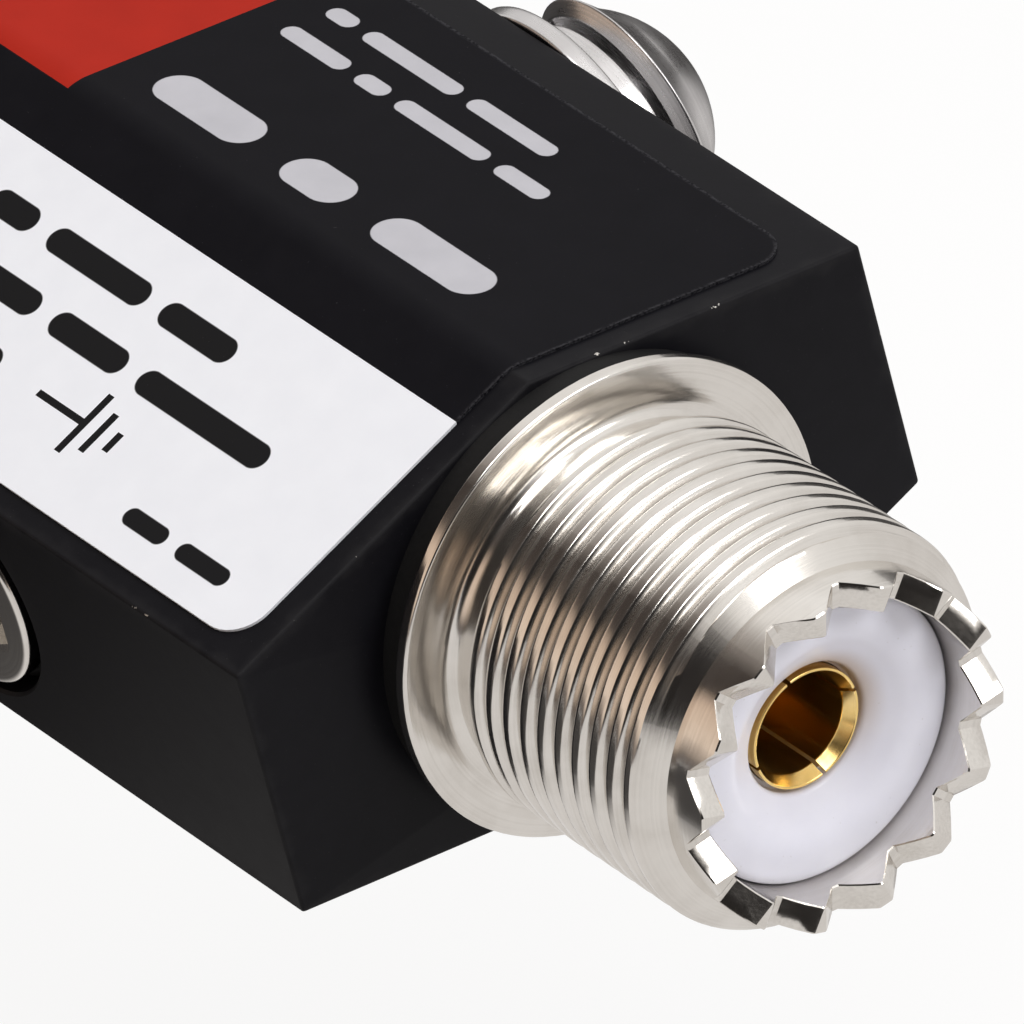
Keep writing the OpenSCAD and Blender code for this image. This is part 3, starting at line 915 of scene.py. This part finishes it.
@dataclass
class Housing:
    """The painted block and the label sheet folded over its upper ridge, in millimetres."""

    block: Block = BLOCK
    sheet: Sheet = SHEET
    edge: float = 0.15
    mouth: float = 0.12
    bend: float = 0.55
    recess_r: float = 5.1
    recess_floor: float = 13.05
    tube_bore_r: float = 4.31
    tube_bore_end: float = 4.0
    screw_hole_r: float = 2.5
    screw_hole_end: float = 7.7

    def _section(self, inset: float) -> Path:
        """The block's section moved inward, with its corners rounded."""
        slope = self.block.slope
        y = self.block.half_w - inset
        ridge = self.block.half_h - inset / math.cos(slope)
        z = ridge - y * math.tan(slope)
        corners = [(y, -z), (y, z), (0, ridge), (-y, z), (-y, -z), (0, -ridge)]
        return rounded([(a, b, self.edge * (2.2 if a == 0 else 1.0)) for a, b in corners])

    def build_block(self) -> None:
        """The block with round edges, the cap's recess and the screw's hole."""
        rings = []
        turns = [math.radians(18 * k) for k in range(6)]
        for middle, way, order in ((self.block.start, 1, turns), (self.block.stop, -1, turns[::-1])):
            for t in order:
                inset = self.edge * (1 - math.sin(t))
                x = middle + way * self.edge * (1 - math.cos(t))
                rings.append([Vector((x, y, z)) for y, z in self._section(inset)])
        block = Draft().skin(rings, capped=True).bare("housing_block")
        half_w, mouth = self.block.half_w, self.mouth
        recess = [
            (0.001, self.tube_bore_end),
            (self.tube_bore_r, self.tube_bore_end),
            (self.tube_bore_r, self.recess_floor),
            (self.recess_r, self.recess_floor),
            (self.recess_r, half_w - mouth),
            (self.recess_r + 2 * mouth, half_w + mouth),
            (0.001, half_w + mouth),
        ]
        cut_out(block, Draft().turned(Axis.CAP, recess, 64, looped=False).bare("recess_cutter"))
        hole = [
            (0.001, self.screw_hole_end),
            (self.screw_hole_r, self.screw_hole_end),
            (self.screw_hole_r, half_w + 1),
            (0.001, half_w + 1),
        ]
        cut_out(block, Draft().turned(Axis.GROUND, hole, 48, looped=False).bare("hole_cutter"))
        block.data.materials.clear()
        block.data.materials.append(Finishes.paint.material())
        block.data.shade_smooth()
        for face in block.data.polygons:
            face.use_smooth = face.area < 6e-6 and face.loop_total < 8
        block.data.set_sharp_from_angle(angle=math.radians(40))
        settle(block, "arrestor", ["housing"])

    def _reach(self, s: float) -> tuple[float, float]:
        """First and last place of the label along the line, at a place across it."""
        r = self.sheet.corner
        depth = max(r - (s - self.sheet.low), r - (self.sheet.high - s), 0.0)
        pull = r - math.sqrt(max(r * r - depth * depth, 0.0))
        return self.sheet.start + pull, self.sheet.stop - pull

    def _folded(self, x: float, s: float, lift: float) -> Vector:
        """A point of the label, folded over the ridge with a small bend."""
        slope, bend = self.block.slope, self.bend
        fall = s * s / (2 * bend) + bend / 2 if abs(s) < bend else abs(s)
        tilt = slope * max(-1.0, min(1.0, s / bend))
        y = s * math.cos(slope) + lift * math.sin(tilt)
        z = self.block.half_h + 0.012 - fall * math.sin(slope) + lift * math.cos(tilt)
        return Vector((x, y, z))

    def build_label(self) -> None:
        """The label sheet with round corners."""
        r, low, high = self.sheet.corner, self.sheet.low, self.sheet.high
        curve = [r * (1 - math.cos(math.radians(9 * k))) for k in range(11)]
        places = [low + c for c in curve]
        places += [low + r + k * (-1.0 - low - r) / 8 for k in range(1, 9)]
        places += [-0.8 + 0.1 * k for k in range(17)]
        places += [1.0 + k * (high - r - 1.0) / 8 for k in range(8)]
        places += [high - c for c in reversed(curve)]
        columns = 24
        rings = []
        for s in places:
            first, last = self._reach(s)
            xs = [first + (last - first) * k / columns for k in range(columns + 1)]
            top = [self._folded(x, s, self.sheet.thickness) for x in xs]
            rings.append(top + [self._folded(x, s, 0.0) for x in reversed(xs)])
        Draft().skin(rings, capped=True).piece(
            "label_sheet", Finishes.film, "arrestor", "printed_film", ["wrap_label"], 30
        )

    def build(self) -> None:
        """Builds both pieces."""
        self.build_block()
        self.build_label()


@dataclass
class CoaxSocket:
    """The threaded socket: shell with its toothed rim, gasket, insulator and contact.

    Sizes are in millimetres, and places run outward from the block's socket end.
    """

    spigot_r: float = 7.5
    spigot_len: float = 6.0
    gasket_t: float = 1.2
    flange_r: float = 9.5
    flange_front: float = 1.75
    neck_r: float = 7.3
    thread_start: float = 3.05
    thread_end: float = 12.85
    thread_r: float = 8.0
    thread_depth: float = 0.45
    pitch: float = 1.0
    rim_r: float = 6.9
    rim_start: float = 13.62
    rim_base: float = 1.0
    bore_r: float = 5.85
    notches: int = 14
    notch_turn: float = 101.4
    notch_depth: float = 1.05
    notch_floor: float = 0.3
    tooth_tip: float = 0.12
    face: float = 13.92
    face_round: float = 0.4
    dish_r: float = 4.2
    dish_depth: float = 0.8
    contact_front: float = 12.97
    contact_r: float = 2.4
    contact_bore_r: float = 2.0
    contact_depth: float = 10.5
    lead: float = 0.3
    lead_len: float = 0.5
    slot_w: float = 0.15
    slot_len: float = 6.0
    slot_turn: float = 6.0
    tail_r: float = 1.5
    tail_len: float = 3.5

    def _mouth(self) -> float:
        """Width of a notch at its mouth."""
        return 2 * math.pi * self.bore_r / self.notches - self.tooth_tip

    def _angles(self, radius: float) -> list[float]:
        """Angles of the rim's points at a radius, over one full turn."""
        half = math.pi / self.notches
        mouth, floor = self._mouth() / 2, self.notch_floor / 2
        widths = [floor, 0.4, 0.75, mouth - 0.06, mouth + 0.02]
        side = [math.asin(w / radius) for w in widths]
        side.append((side[-1] + half) / 2)
        one = [0.0, *side, half, *(2 * half - a for a in reversed(side))]
        first = math.radians(self.notch_turn)
        angles = [first + 2 * half * k + a for k in range(self.notches) for a in one]
        return angles + [first + 2 * math.pi]

    def _crest(self, radius: float, angle: float, drop: float) -> float:
        """Height of the toothed rim at a point, less a drop at its edges."""
        step = 2 * math.pi / self.notches
        off = (angle - math.radians(self.notch_turn)) % step
        off = min(off, step - off)
        spread = (self._mouth() - self.notch_floor) / 2 / self.notch_depth
        rise = (radius * math.sin(off) - self.notch_floor / 2) / spread
        base = self.rim_start + self.rim_base
        return base + max(0.0, min(self.notch_depth, rise)) - drop

    def _thread(self, along: float, off: float) -> float:
        """Radius of the threaded part: broad round crests with narrow grooves."""
        groove = max(0.0, 1.0 - off / 0.27)
        crown = max(0.0, (0.5 - off) / 0.5) ** 2 * 0.05
        radius = self.thread_r - (self.thread_depth - 0.05) * groove - crown
        slope = (self.thread_r - self.rim_r) / (self.rim_start - self.thread_end)
        lead = self.rim_r + (self.rim_start - along) * slope
        foot = self.neck_r + (along - self.thread_start) * 2
        return min(radius, lead, foot)

    def build_shell(self) -> None:
        """The shell from its bore over the teeth and down the thread to the spigot."""
        axis = Axis.SOCKET
        rings: list[list[Vector]] = []
        inner = self._angles(self.bore_r)
        for along in (-self.spigot_len, 9.0, 12.6):
            rings.append(axis.ring(self.bore_r, along, inner))
        across = (
            (self.bore_r, 0.05),
            (self.bore_r + 0.05, 0.0),
            ((self.bore_r + self.rim_r) / 2, 0.0),
            (self.rim_r - 0.06, 0.0),
            (self.rim_r, 0.05),
        )
        for radius, drop in across:
            angles = self._angles(radius)
            rings.append([axis.point(radius, self._crest(radius, t, drop), t) for t in angles])
        angles = self._angles(self.rim_r)
        thread = Thread(axis, self.thread_start, self.rim_start, self.pitch, self._thread)
        rings += reversed(thread.rows(angles))
        tail = rounded(
            [
                (self.neck_r, self.thread_start, 0),
                (self.neck_r, self.flange_front, 0.8),
                (self.flange_r, self.flange_front, 0.14),
                (self.flange_r, self.gasket_t, 0.1),
                (self.spigot_r, self.gasket_t, 0),
                (self.spigot_r, -self.spigot_len, 0),
            ],
            closed=False,
        )
        rings += [axis.ring(radius, along, angles) for radius, along in tail[1:]]
        Draft().skin(rings, closed=False, looped=True).piece(
            "socket_body", Finishes.nickel_thread, "arrestor", "nickel", ["socket_shell"], 32
        )

    def build_insulator(self) -> None:
        """The white insulator with its broad round edge and sunk middle."""
        outer, hole, mouth = self.bore_r - 0.03, self.contact_r + 0.03, self.contact_r + 0.2
        path = rounded(
            [
                (hole, -self.spigot_len, 0),
                (hole, self.contact_front - 0.55, 0),
                (mouth, self.contact_front - 0.55, 0.1),
                (mouth, self.contact_front - 0.05, 0.35),
                (self.dish_r, self.face, 2.0),
                (outer, self.face, self.face_round * 1.15),
                (outer, -self.spigot_len, 0),
            ],
            steps=8,
        )
        Draft().turned(Axis.SOCKET, path, 128).piece(
            "socket_white", Finishes.white, "arrestor", "white_insulator", ["socket_insulator"], 50
        )

    def build_contact(self) -> None:
        """The slotted gold sleeve on its solid root."""
        front, foot = self.contact_front, self.contact_front - self.slot_len
        draft = Draft()
        leaf = rounded(
            [
                (self.contact_bore_r, foot, 0),
                (self.contact_bore_r, front - self.lead_len, 0.2),
                (self.contact_bore_r + self.lead, front, 0.04),
                (self.contact_r, front, 0.05),
                (self.contact_r, foot, 0),
            ]
        )
        gap = self.slot_w / 2 / self.contact_bore_r
        for k in range(4):
            first = math.radians(self.slot_turn + 90 * k) + gap
            draft.turned(Axis.SOCKET, leaf, 24, (first, first + math.pi / 2 - 2 * gap))
        floor = front - self.contact_depth
        root = [
            (0.001, floor),
            (self.contact_bore_r, floor),
            (self.contact_bore_r, foot),
            (self.contact_r, foot),
            (self.contact_r, -self.spigot_len),
            (self.tail_r, -self.spigot_len),
            (self.tail_r, -self.spigot_len - self.tail_len),
            (0.001, -self.spigot_len - self.tail_len),
        ]
        draft.turned(Axis.SOCKET, root, 64, looped=False)
        draft.piece("socket_sleeve", Finishes.gold, "arrestor", "gold_plate", ["socket_contact"])

    def build(self) -> None:
        """Builds the socket's pieces."""
        self.build_shell()
        self.build_insulator()
        self.build_contact()
        dress("socket_gasket", Finishes.rubber)


@dataclass
class CoaxPlug:
    """The plug: its shell, insulator and pin, and the knurled ring that turns on it.

    Sizes are in millimetres, and places run outward from the block's plug end.
    """

    ring_rear: float = 2.0
    ring_front: float = 17.4
    ring_r: float = 9.25
    ring_cut: float = 0.5
    ring_groove: float = 0.35
    ring_lip: float = 2.6
    run_bore_r: float = 6.997
    pocket_r: float = 8.13
    thread_rear: float = 8.1
    thread_crest_r: float = 7.46
    thread_root_r: float = 8.05
    pitch: float = 1.0
    flutes: int = 36
    flute_depth: float = 0.3
    flute_w: float = 1.0

    @property
    def knurl(self) -> tuple[float, float]:
        """First and last place of the fluted band with its two grooves."""
        band = (self.ring_front - self.ring_rear) / 5
        return self.ring_rear + band, self.ring_front - band

    def _outside(self, radius: float, along: float, angle: float) -> float:
        """Outer radius of the ring with its straight flutes between the grooves."""
        low, high = self.knurl
        if radius < self.ring_r - 0.05 or not low + 0.25 < along < high - 0.25:
            return radius
        step = 2 * math.pi / self.flutes
        off = angle % step
        off = min(off, step - off) * self.ring_r
        return radius - self.flute_depth * max(0.0, 1.0 - off / (self.flute_w / 2))

    def _inside(self, along: float, off: float) -> float:
        """Inner radius of the ring's thread."""
        groove = max(0.0, 1.0 - off / 0.36)
        radius = self.thread_crest_r + (self.thread_root_r - self.thread_crest_r) * groove
        mouth = self.thread_crest_r + max(0.0, along - (self.ring_front - 0.59))
        return max(radius, mouth)

    def build_ring(self) -> None:
        """The coupling ring, outside knurled and inside threaded."""
        axis = Axis.PLUG
        angles = full_turn(self.flutes * 10, ends=True)
        low, high = self.knurl
        deep = self.ring_r - self.ring_groove
        outside = rounded(
            [
                (self.run_bore_r, self.ring_rear, 0),
                (self.ring_r, self.ring_rear, self.ring_cut),
                (self.ring_r, low, 0.06),
                (deep, low, 0.06),
                (deep, low + 0.5, 0.06),
                (self.ring_r, low + 0.5, 0.06),
                (self.ring_r, low + 0.86, 0),
                (self.ring_r, high - 0.86, 0),
                (self.ring_r, high - 0.5, 0.06),
                (deep, high - 0.5, 0.06),
                (deep, high, 0.06),
                (self.ring_r, high, 0.06),
                (self.ring_r, self.ring_front, self.ring_cut),
            ],
            closed=False,
        )
        outside[-1:] = [
            (self.ring_r, self.ring_front - 0.5),
            (self.ring_r - 0.15, self.ring_front - 0.15),
            (self.ring_r - 0.5, self.ring_front),
            (self.thread_root_r, self.ring_front),
        ]
        rings = [[axis.point(self._outside(r, a, t), a, t) for t in angles] for r, a in outside]
        thread = Thread(axis, self.thread_rear, self.ring_front, self.pitch, self._inside)
        rings += reversed(thread.rows(angles))
        pocket = (
            (self.pocket_r, self.thread_rear),
            (self.pocket_r, self.ring_rear + self.ring_lip),
            (self.run_bore_r, self.ring_rear + self.ring_lip),
        )
        rings += [axis.ring(r, a, angles) for r, a in pocket]
        Draft().skin(rings, closed=False, looped=True).piece(
            "fluted_ring", Finishes.nickel_ring, "coupling", "nickel", ["coupling_ring"], 32
        )

    def build(self) -> None:
        """Builds the ring and dresses the plug's solids."""
        self.build_ring()
        dress("plug_shell", Finishes.nickel)
        dress("plug_gasket", Finishes.rubber)
        dress("plug_insulator", Finishes.white)
        dress("plug_pin", Finishes.gold)
        dress("coupling_clip", Finishes.clip_steel)


@dataclass
class GasTube:
    """The line conductor, the gas tube on it, and the cap that holds the tube in.

    Sizes are in millimetres, and places run outward from the coax line.
    """

    cap_top: float = 14.85
    cap_head_in: float = 13.85
    cap_head_r: float = 4.6
    cap_neck_r: float = 4.26
    cap_end: float = 10.85
    hex_across: float = 6.0
    hex_depth: float = 2.3
    cup_r: float = 2.85
    cup_floor: float = 11.75

    def _hex(self, angle: float) -> float:
        """Distance from the middle to the hexagon's side at an angle."""
        off = (angle + math.pi / 6) % (math.pi / 3) - math.pi / 6
        return self.hex_across / 2 / math.cos(off)

    def build_cap(self) -> None:
        """The cap with a round rim and a hexagon socket."""
        axis = Axis.CAP
        angles = full_turn(96)
        path = rounded(
            [
                (0.001, self.cup_floor, 0),
                (self.cup_r, self.cup_floor, 0),
                (self.cup_r, self.cap_end, 0),
                (self.cap_neck_r, self.cap_end, 0.2),
                (self.cap_neck_r, self.cap_head_in, 0.05),
                (self.cap_head_r, self.cap_head_in, 0.08),
                (self.cap_head_r, self.cap_top, 0.22),
                (self.hex_across / 2 + 0.75, self.cap_top, 0),
            ],
            closed=False,
        )
        rings = [axis.ring(r, a, angles) for r, a in path]
        floor = self.cap_top - self.hex_depth
        for share, a in ((1.07, self.cap_top), (1.0, self.cap_top - 0.2), (1.0, floor)):
            rings.append([axis.point(self._hex(t) * share, a, t) for t in angles])
        rings.append(axis.ring(0.001, floor - 0.15, angles))
        Draft().skin(rings).piece(
            "cap_plug", Finishes.nickel_side, "cap", "nickel", ["tube_cap"], 40
        )

    def build(self) -> None:
        """Builds the cap and dresses the inner solids."""
        self.build_cap()
        dress("cap_seal", Finishes.rubber)
        dress("line_conductor", Finishes.brass)
        dress("tube_ceramic", Finishes.ceramic)
        dress("tube_line_electrode", Finishes.steel)
        dress("tube_earth_electrode", Finishes.steel)
        dress("tube_sleeve", Finishes.white)
        dress("tube_spring", Finishes.steel)


@dataclass
class GroundTerminal:
    """The ground screw with its split spring washer and flat washer.

    Sizes are in millimetres, and places run outward from the coax line. The
    cross recess is given by height over the head, reach and half width.
    """

    washer_in: float = 14.76
    washer_out: float = 15.56
    washer_r: float = 5.9
    bore_r: float = 2.65
    split_r: float = 4.3
    split_t: float = 1.2
    split_rise: float = 0.4
    split_cut: float = 7.0
    split_turn: float = -124.0
    head_in: float = 17.22
    head_r: float = 4.85
    head_edge_r: float = 4.0
    head_side: float = 1.2
    head_h: float = 3.3
    head_bevel: float = 0.5
    screw_r: float = 2.45
    screw_end: float = 8.2
    pitch: float = 0.8
    cross: tuple[Triple, ...] = ((0.4, 2.5, 0.62), (-0.9, 1.7, 0.5), (-1.7, 0.5, 0.4))

    def build_washer(self) -> None:
        """The flat washer with its rounded stamped edge."""
        path = rounded(
            [
                (self.bore_r, self.washer_in, 0.1),
                (self.washer_r, self.washer_in, 0.12),
                (self.washer_r, self.washer_out, 0.25),
                (self.bore_r, self.washer_out, 0.15),
            ]
        )
        Draft().turned(Axis.GROUND, path, 96).piece(
            "flat_washer", Finishes.steel, "ground_washers", "plated_steel", ["ground_washer"]
        )

    def build_split(self) -> None:
        """The split spring washer, rising from one cut end to the other."""
        outline = rounded(
            [
                (self.bore_r, 0.0, 0.12),
                (self.split_r, 0.0, 0.12),
                (self.split_r, self.split_t, 0.12),
                (self.bore_r, self.split_t, 0.12),
            ],
            steps=3,
        )
        steps = 90
        sweep = math.radians(360 - self.split_cut)
        first = math.radians(self.split_turn)
        rings = []
        for i in range(steps + 1):
            t, lift = first + sweep * i / steps, self.washer_out + self.split_rise * i / steps
            rings.append([Axis.GROUND.point(r, lift + a, t) for r, a in outline])
        Draft().skin(rings, capped=True).piece(
            "split_washer", Finishes.steel, "ground_washers", "plated_steel", ["ground_spring_washer"]
        )

    def _shank(self, along: float, off: float) -> float:
        """Radius of the screw's threaded shank."""
        groove = max(0.0, 1.0 - off / 0.4)
        point = self.screw_r - 0.5 + max(0.0, along - self.screw_end)
        return min(self.screw_r - 0.42 * groove, point)

    def _head(self) -> Path:
        """Path of the pan head, from the shank under it to the top of its dome."""
        path = rounded(
            [
                (self.screw_r, self.head_in, 0),
                (self.head_r - self.head_bevel, self.head_in, 0.1),
                (self.head_r, self.head_in + self.head_bevel, 0.08),
                (self.head_edge_r, self.head_in + self.head_side, 0.0),
            ],
            closed=False,
        )
        rise = self.head_h - self.head_side
        ball = (self.head_edge_r**2 + rise**2) / (2 * rise)
        full = math.asin(self.head_edge_r / ball)
        top = self.head_in + self.head_h
        for k in range(1, 17):
            t = full * (1 - k / 16)
            path.append((max(0.001, ball * math.sin(t)), top - ball + ball * math.cos(t)))
        return path

    def _cross_bar(self, turn: float) -> bpy.types.Object:
        """Cutter for one bar of the head's cross recess, at an angle in radians."""
        rings = []
        for height, reach, half in self.cross:
            along = self.head_in + self.head_h + height
            radius, shaded_side = math.hypot(reach, half), math.atan2(half, reach)
            corners = (shaded_side, math.pi - shaded_side, math.pi + shaded_side, -shaded_side)
            rings.append(Axis.GROUND.ring(radius, along, [turn + a for a in corners]))
        return Draft().skin(rings, capped=True).bare("cross_cutter")

    def build_screw(self) -> None:
        """The pan head screw with a tapered cross recess."""
        axis = Axis.GROUND
        angles = full_turn(72, ends=True)
        rings = [axis.ring(0.001, self.screw_end, angles)]
        rings += Thread(axis, self.screw_end, self.head_in, self.pitch, self._shank).rows(angles)
        rings += [axis.ring(r, a, angles) for r, a in self._head()]
        screw = Draft().skin(rings, closed=False).bare("pan_screw")
        for degrees in (45, 135):
            cut_out(screw, self._cross_bar(math.radians(degrees)))
        screw.data.materials.clear()
        screw.data.materials.append(Finishes.steel.material())
        screw.data.shade_smooth()
        screw.data.set_sharp_from_angle(angle=math.radians(35))
        settle(screw, "ground_screw", ["ground_screw"])

    def build(self) -> None:
        """Builds the terminal's pieces."""
        self.build_washer()
        self.build_split()
        self.build_screw()


@dataclass
class Studio:
    """Camera, floor, world and lamps, in metres.

    Attributes:
        eye: Place of the camera.
        right: The picture's right, in the part's frame.
        up: The picture's up.
        back: From the part toward the camera.
        focal_px: The lens, in pixels of the picture.
        image_px: Width of the picture.
        floor_z: Height of the floor.
        card_edge: Where the floor's dark card ends, as glossy pieces show it.
        stand: Direction of the dark stand.
        cards: Tone of the surroundings by bearing round the coax line.
    """

    eye: Triple = (0.62832, -0.32706, 0.55854)
    right: Triple = (0.61629189, 0.76136909, -0.20124965)
    up: Triple = (-0.41096904, 0.52892783, 0.74252259)
    back: Triple = (0.67178029, -0.37490328, 0.63887305)
    focal_px: float = 24119.83
    image_px: float = 1024.0
    floor_z: float = -0.045
    card_edge: tuple[float, float] = (-0.018, 0.014)
    stand: Triple = (0.75, -0.50, 0.43)
    cards: tuple[tuple[float, Colour], ...] = (
        (0.00, (0.80, 0.78, 0.76)),
        (0.30, (1.00, 0.98, 0.96)),
        (0.45, (0.90, 0.87, 0.84)),
        (0.56, (0.30, 0.265, 0.24)),
        (0.63, (0.05, 0.04, 0.035)),
        (0.74, (0.06, 0.05, 0.045)),
        (0.80, (0.74, 0.56, 0.43)),
        (0.92, (0.90, 0.74, 0.61)),
        (0.965, (0.12, 0.10, 0.09)),
        (1.00, (0.16, 0.14, 0.13)),
    )

    def camera(self) -> None:
        """The camera at the photo's viewing angle."""
        lens = bpy.data.cameras.new("studio_camera")
        lens.sensor_width = 36.0
        lens.lens = 36.0 * self.focal_px / self.image_px
        lens.clip_start, lens.clip_end = 0.01, 20.0
        made = bpy.data.objects.new("studio_camera", lens)
        turn = Matrix((self.right, self.up, self.back)).transposed().to_4x4()
        made.matrix_world = Matrix.Translation(Vector(self.eye)) @ turn
        bpy.context.scene.collection.objects.link(made)
        bpy.context.scene.camera = made

    def _seen(self, g: Graph) -> Field:
        """1 for rays that show the background: from the camera, in a gloss or through glass."""
        path = g.node("ShaderNodeLightPath")
        seen = g.out(path, "Is Camera Ray").most(g.out(path, "Is Glossy Ray"))
        return seen.most(g.out(path, "Is Transmission Ray"))

    def floor(self) -> None:
        """The pale floor, which keeps a soft shadow and shows a dark card in gloss."""
        mesh = bpy.data.meshes.new("floor")
        s = 3.0
        mesh.from_pydata([(-s, -s, 0), (s, -s, 0), (s, s, 0), (-s, s, 0)], [], [(0, 1, 2, 3)])
        made = bpy.data.objects.new("floor", mesh)
        made.location.z = self.floor_z
        bpy.context.scene.collection.objects.link(made)
        material = bpy.data.materials.new("pale_floor")
        material.use_nodes = True
        g = Graph(material.node_tree)
        matt = g.node("ShaderNodeBsdfDiffuse", None, {"Color": (0.86, 0.86, 0.86)})
        path = g.node("ShaderNodeLightPath")
        x, _, _ = g.parts(g.out(g.node("ShaderNodeTexCoord"), "Object"))
        card = g.mix(x.fade(*self.card_edge), (0.04, 0.037, 0.036), (0.76, 0.735, 0.715))
        tone = g.mix(g.out(path, "Is Camera Ray"), card, (1.0, 1.0, 1.0))
        glow = g.node("ShaderNodeEmission", None, {"Color": tone, "Strength": 1.0})
        share = self._seen(g) * 0.85 + g.out(path, "Is Glossy Ray") * 0.12
        both = g.node(
            "ShaderNodeMixShader",
            None,
            {0: share, 1: g.out(matt), 2: g.out(glow)},
        )
        g.node("ShaderNodeOutputMaterial", None, {"Surface": g.out(both)})
        mesh.materials.append(material)

    def world(self) -> None:
        """Soft light from all round with a dark stand in front, white where the camera sees it."""
        world = bpy.data.worlds.new("studio")
        bpy.context.scene.world = world
        world.use_nodes = True
        g = Graph(world.node_tree)
        direction = g.out(g.node("ShaderNodeTexCoord"), "Generated")
        x, y, z = g.parts(direction)
        bearing = g.math("ARCTAN2", z, y) / math.pi
        ramp = g.node("ShaderNodeValToRGB", {"stops": self.cards}, {0: bearing})
        stand = (x * self.stand[0] + y * self.stand[1] + z * self.stand[2]).fade(0.80, 0.92)
        sky = g.mix(stand, g.out(ramp), (0.02, 0.018, 0.017))
        path = g.node("ShaderNodeLightPath")
        colour = g.mix(g.out(path, "Is Camera Ray"), sky, (1.0, 1.0, 1.0))
        light = g.node("ShaderNodeBackground", None, {"Color": colour, "Strength": 1.0})
        g.node("ShaderNodeOutputWorld", None, {"Surface": g.out(light)})

    def lamp(self, name: str, place: Triple, size: float, watts: float, tint: Colour) -> None:
        """One soft square lamp that faces the housing.

        Args:
            name: The lamp's name.
            place: Where it hangs, in metres.
            size: Its width.
            watts: Its power.
            tint: Its colour.
        """
        light = bpy.data.lights.new(name, "AREA")
        light.size = size
        light.energy = watts
        light.color = tint
        made = bpy.data.objects.new(name, light)
        made.location = place
        aim = Vector((0.03, 0.0, 0.0)) - Vector(place)
        made.rotation_euler = aim.to_track_quat("-Z", "Y").to_euler()
        bpy.context.scene.collection.objects.link(made)

    def build(self) -> None:
        """Sets up the whole studio."""
        bpy.context.scene.view_settings.view_transform = "Standard"
        self.camera()
        self.floor()
        self.world()
        self.lamp("key", (0.13, -0.02, 0.50), 0.28, 1.15, (1.0, 0.99, 0.98))
        self.lamp("front", (0.45, 0.24, 0.36), 0.26, 1.15, (1.0, 0.99, 0.98))


def main() -> None:
    """Builds the studio and every sub-assembly, in order."""
    logging.basicConfig(level=logging.INFO, format="%(name)s %(message)s")
    Studio().build()
    Housing().build()
    CoaxSocket().build()
    CoaxPlug().build()
    GasTube().build()
    GroundTerminal().build()


if __name__ == "__main__":
    main()
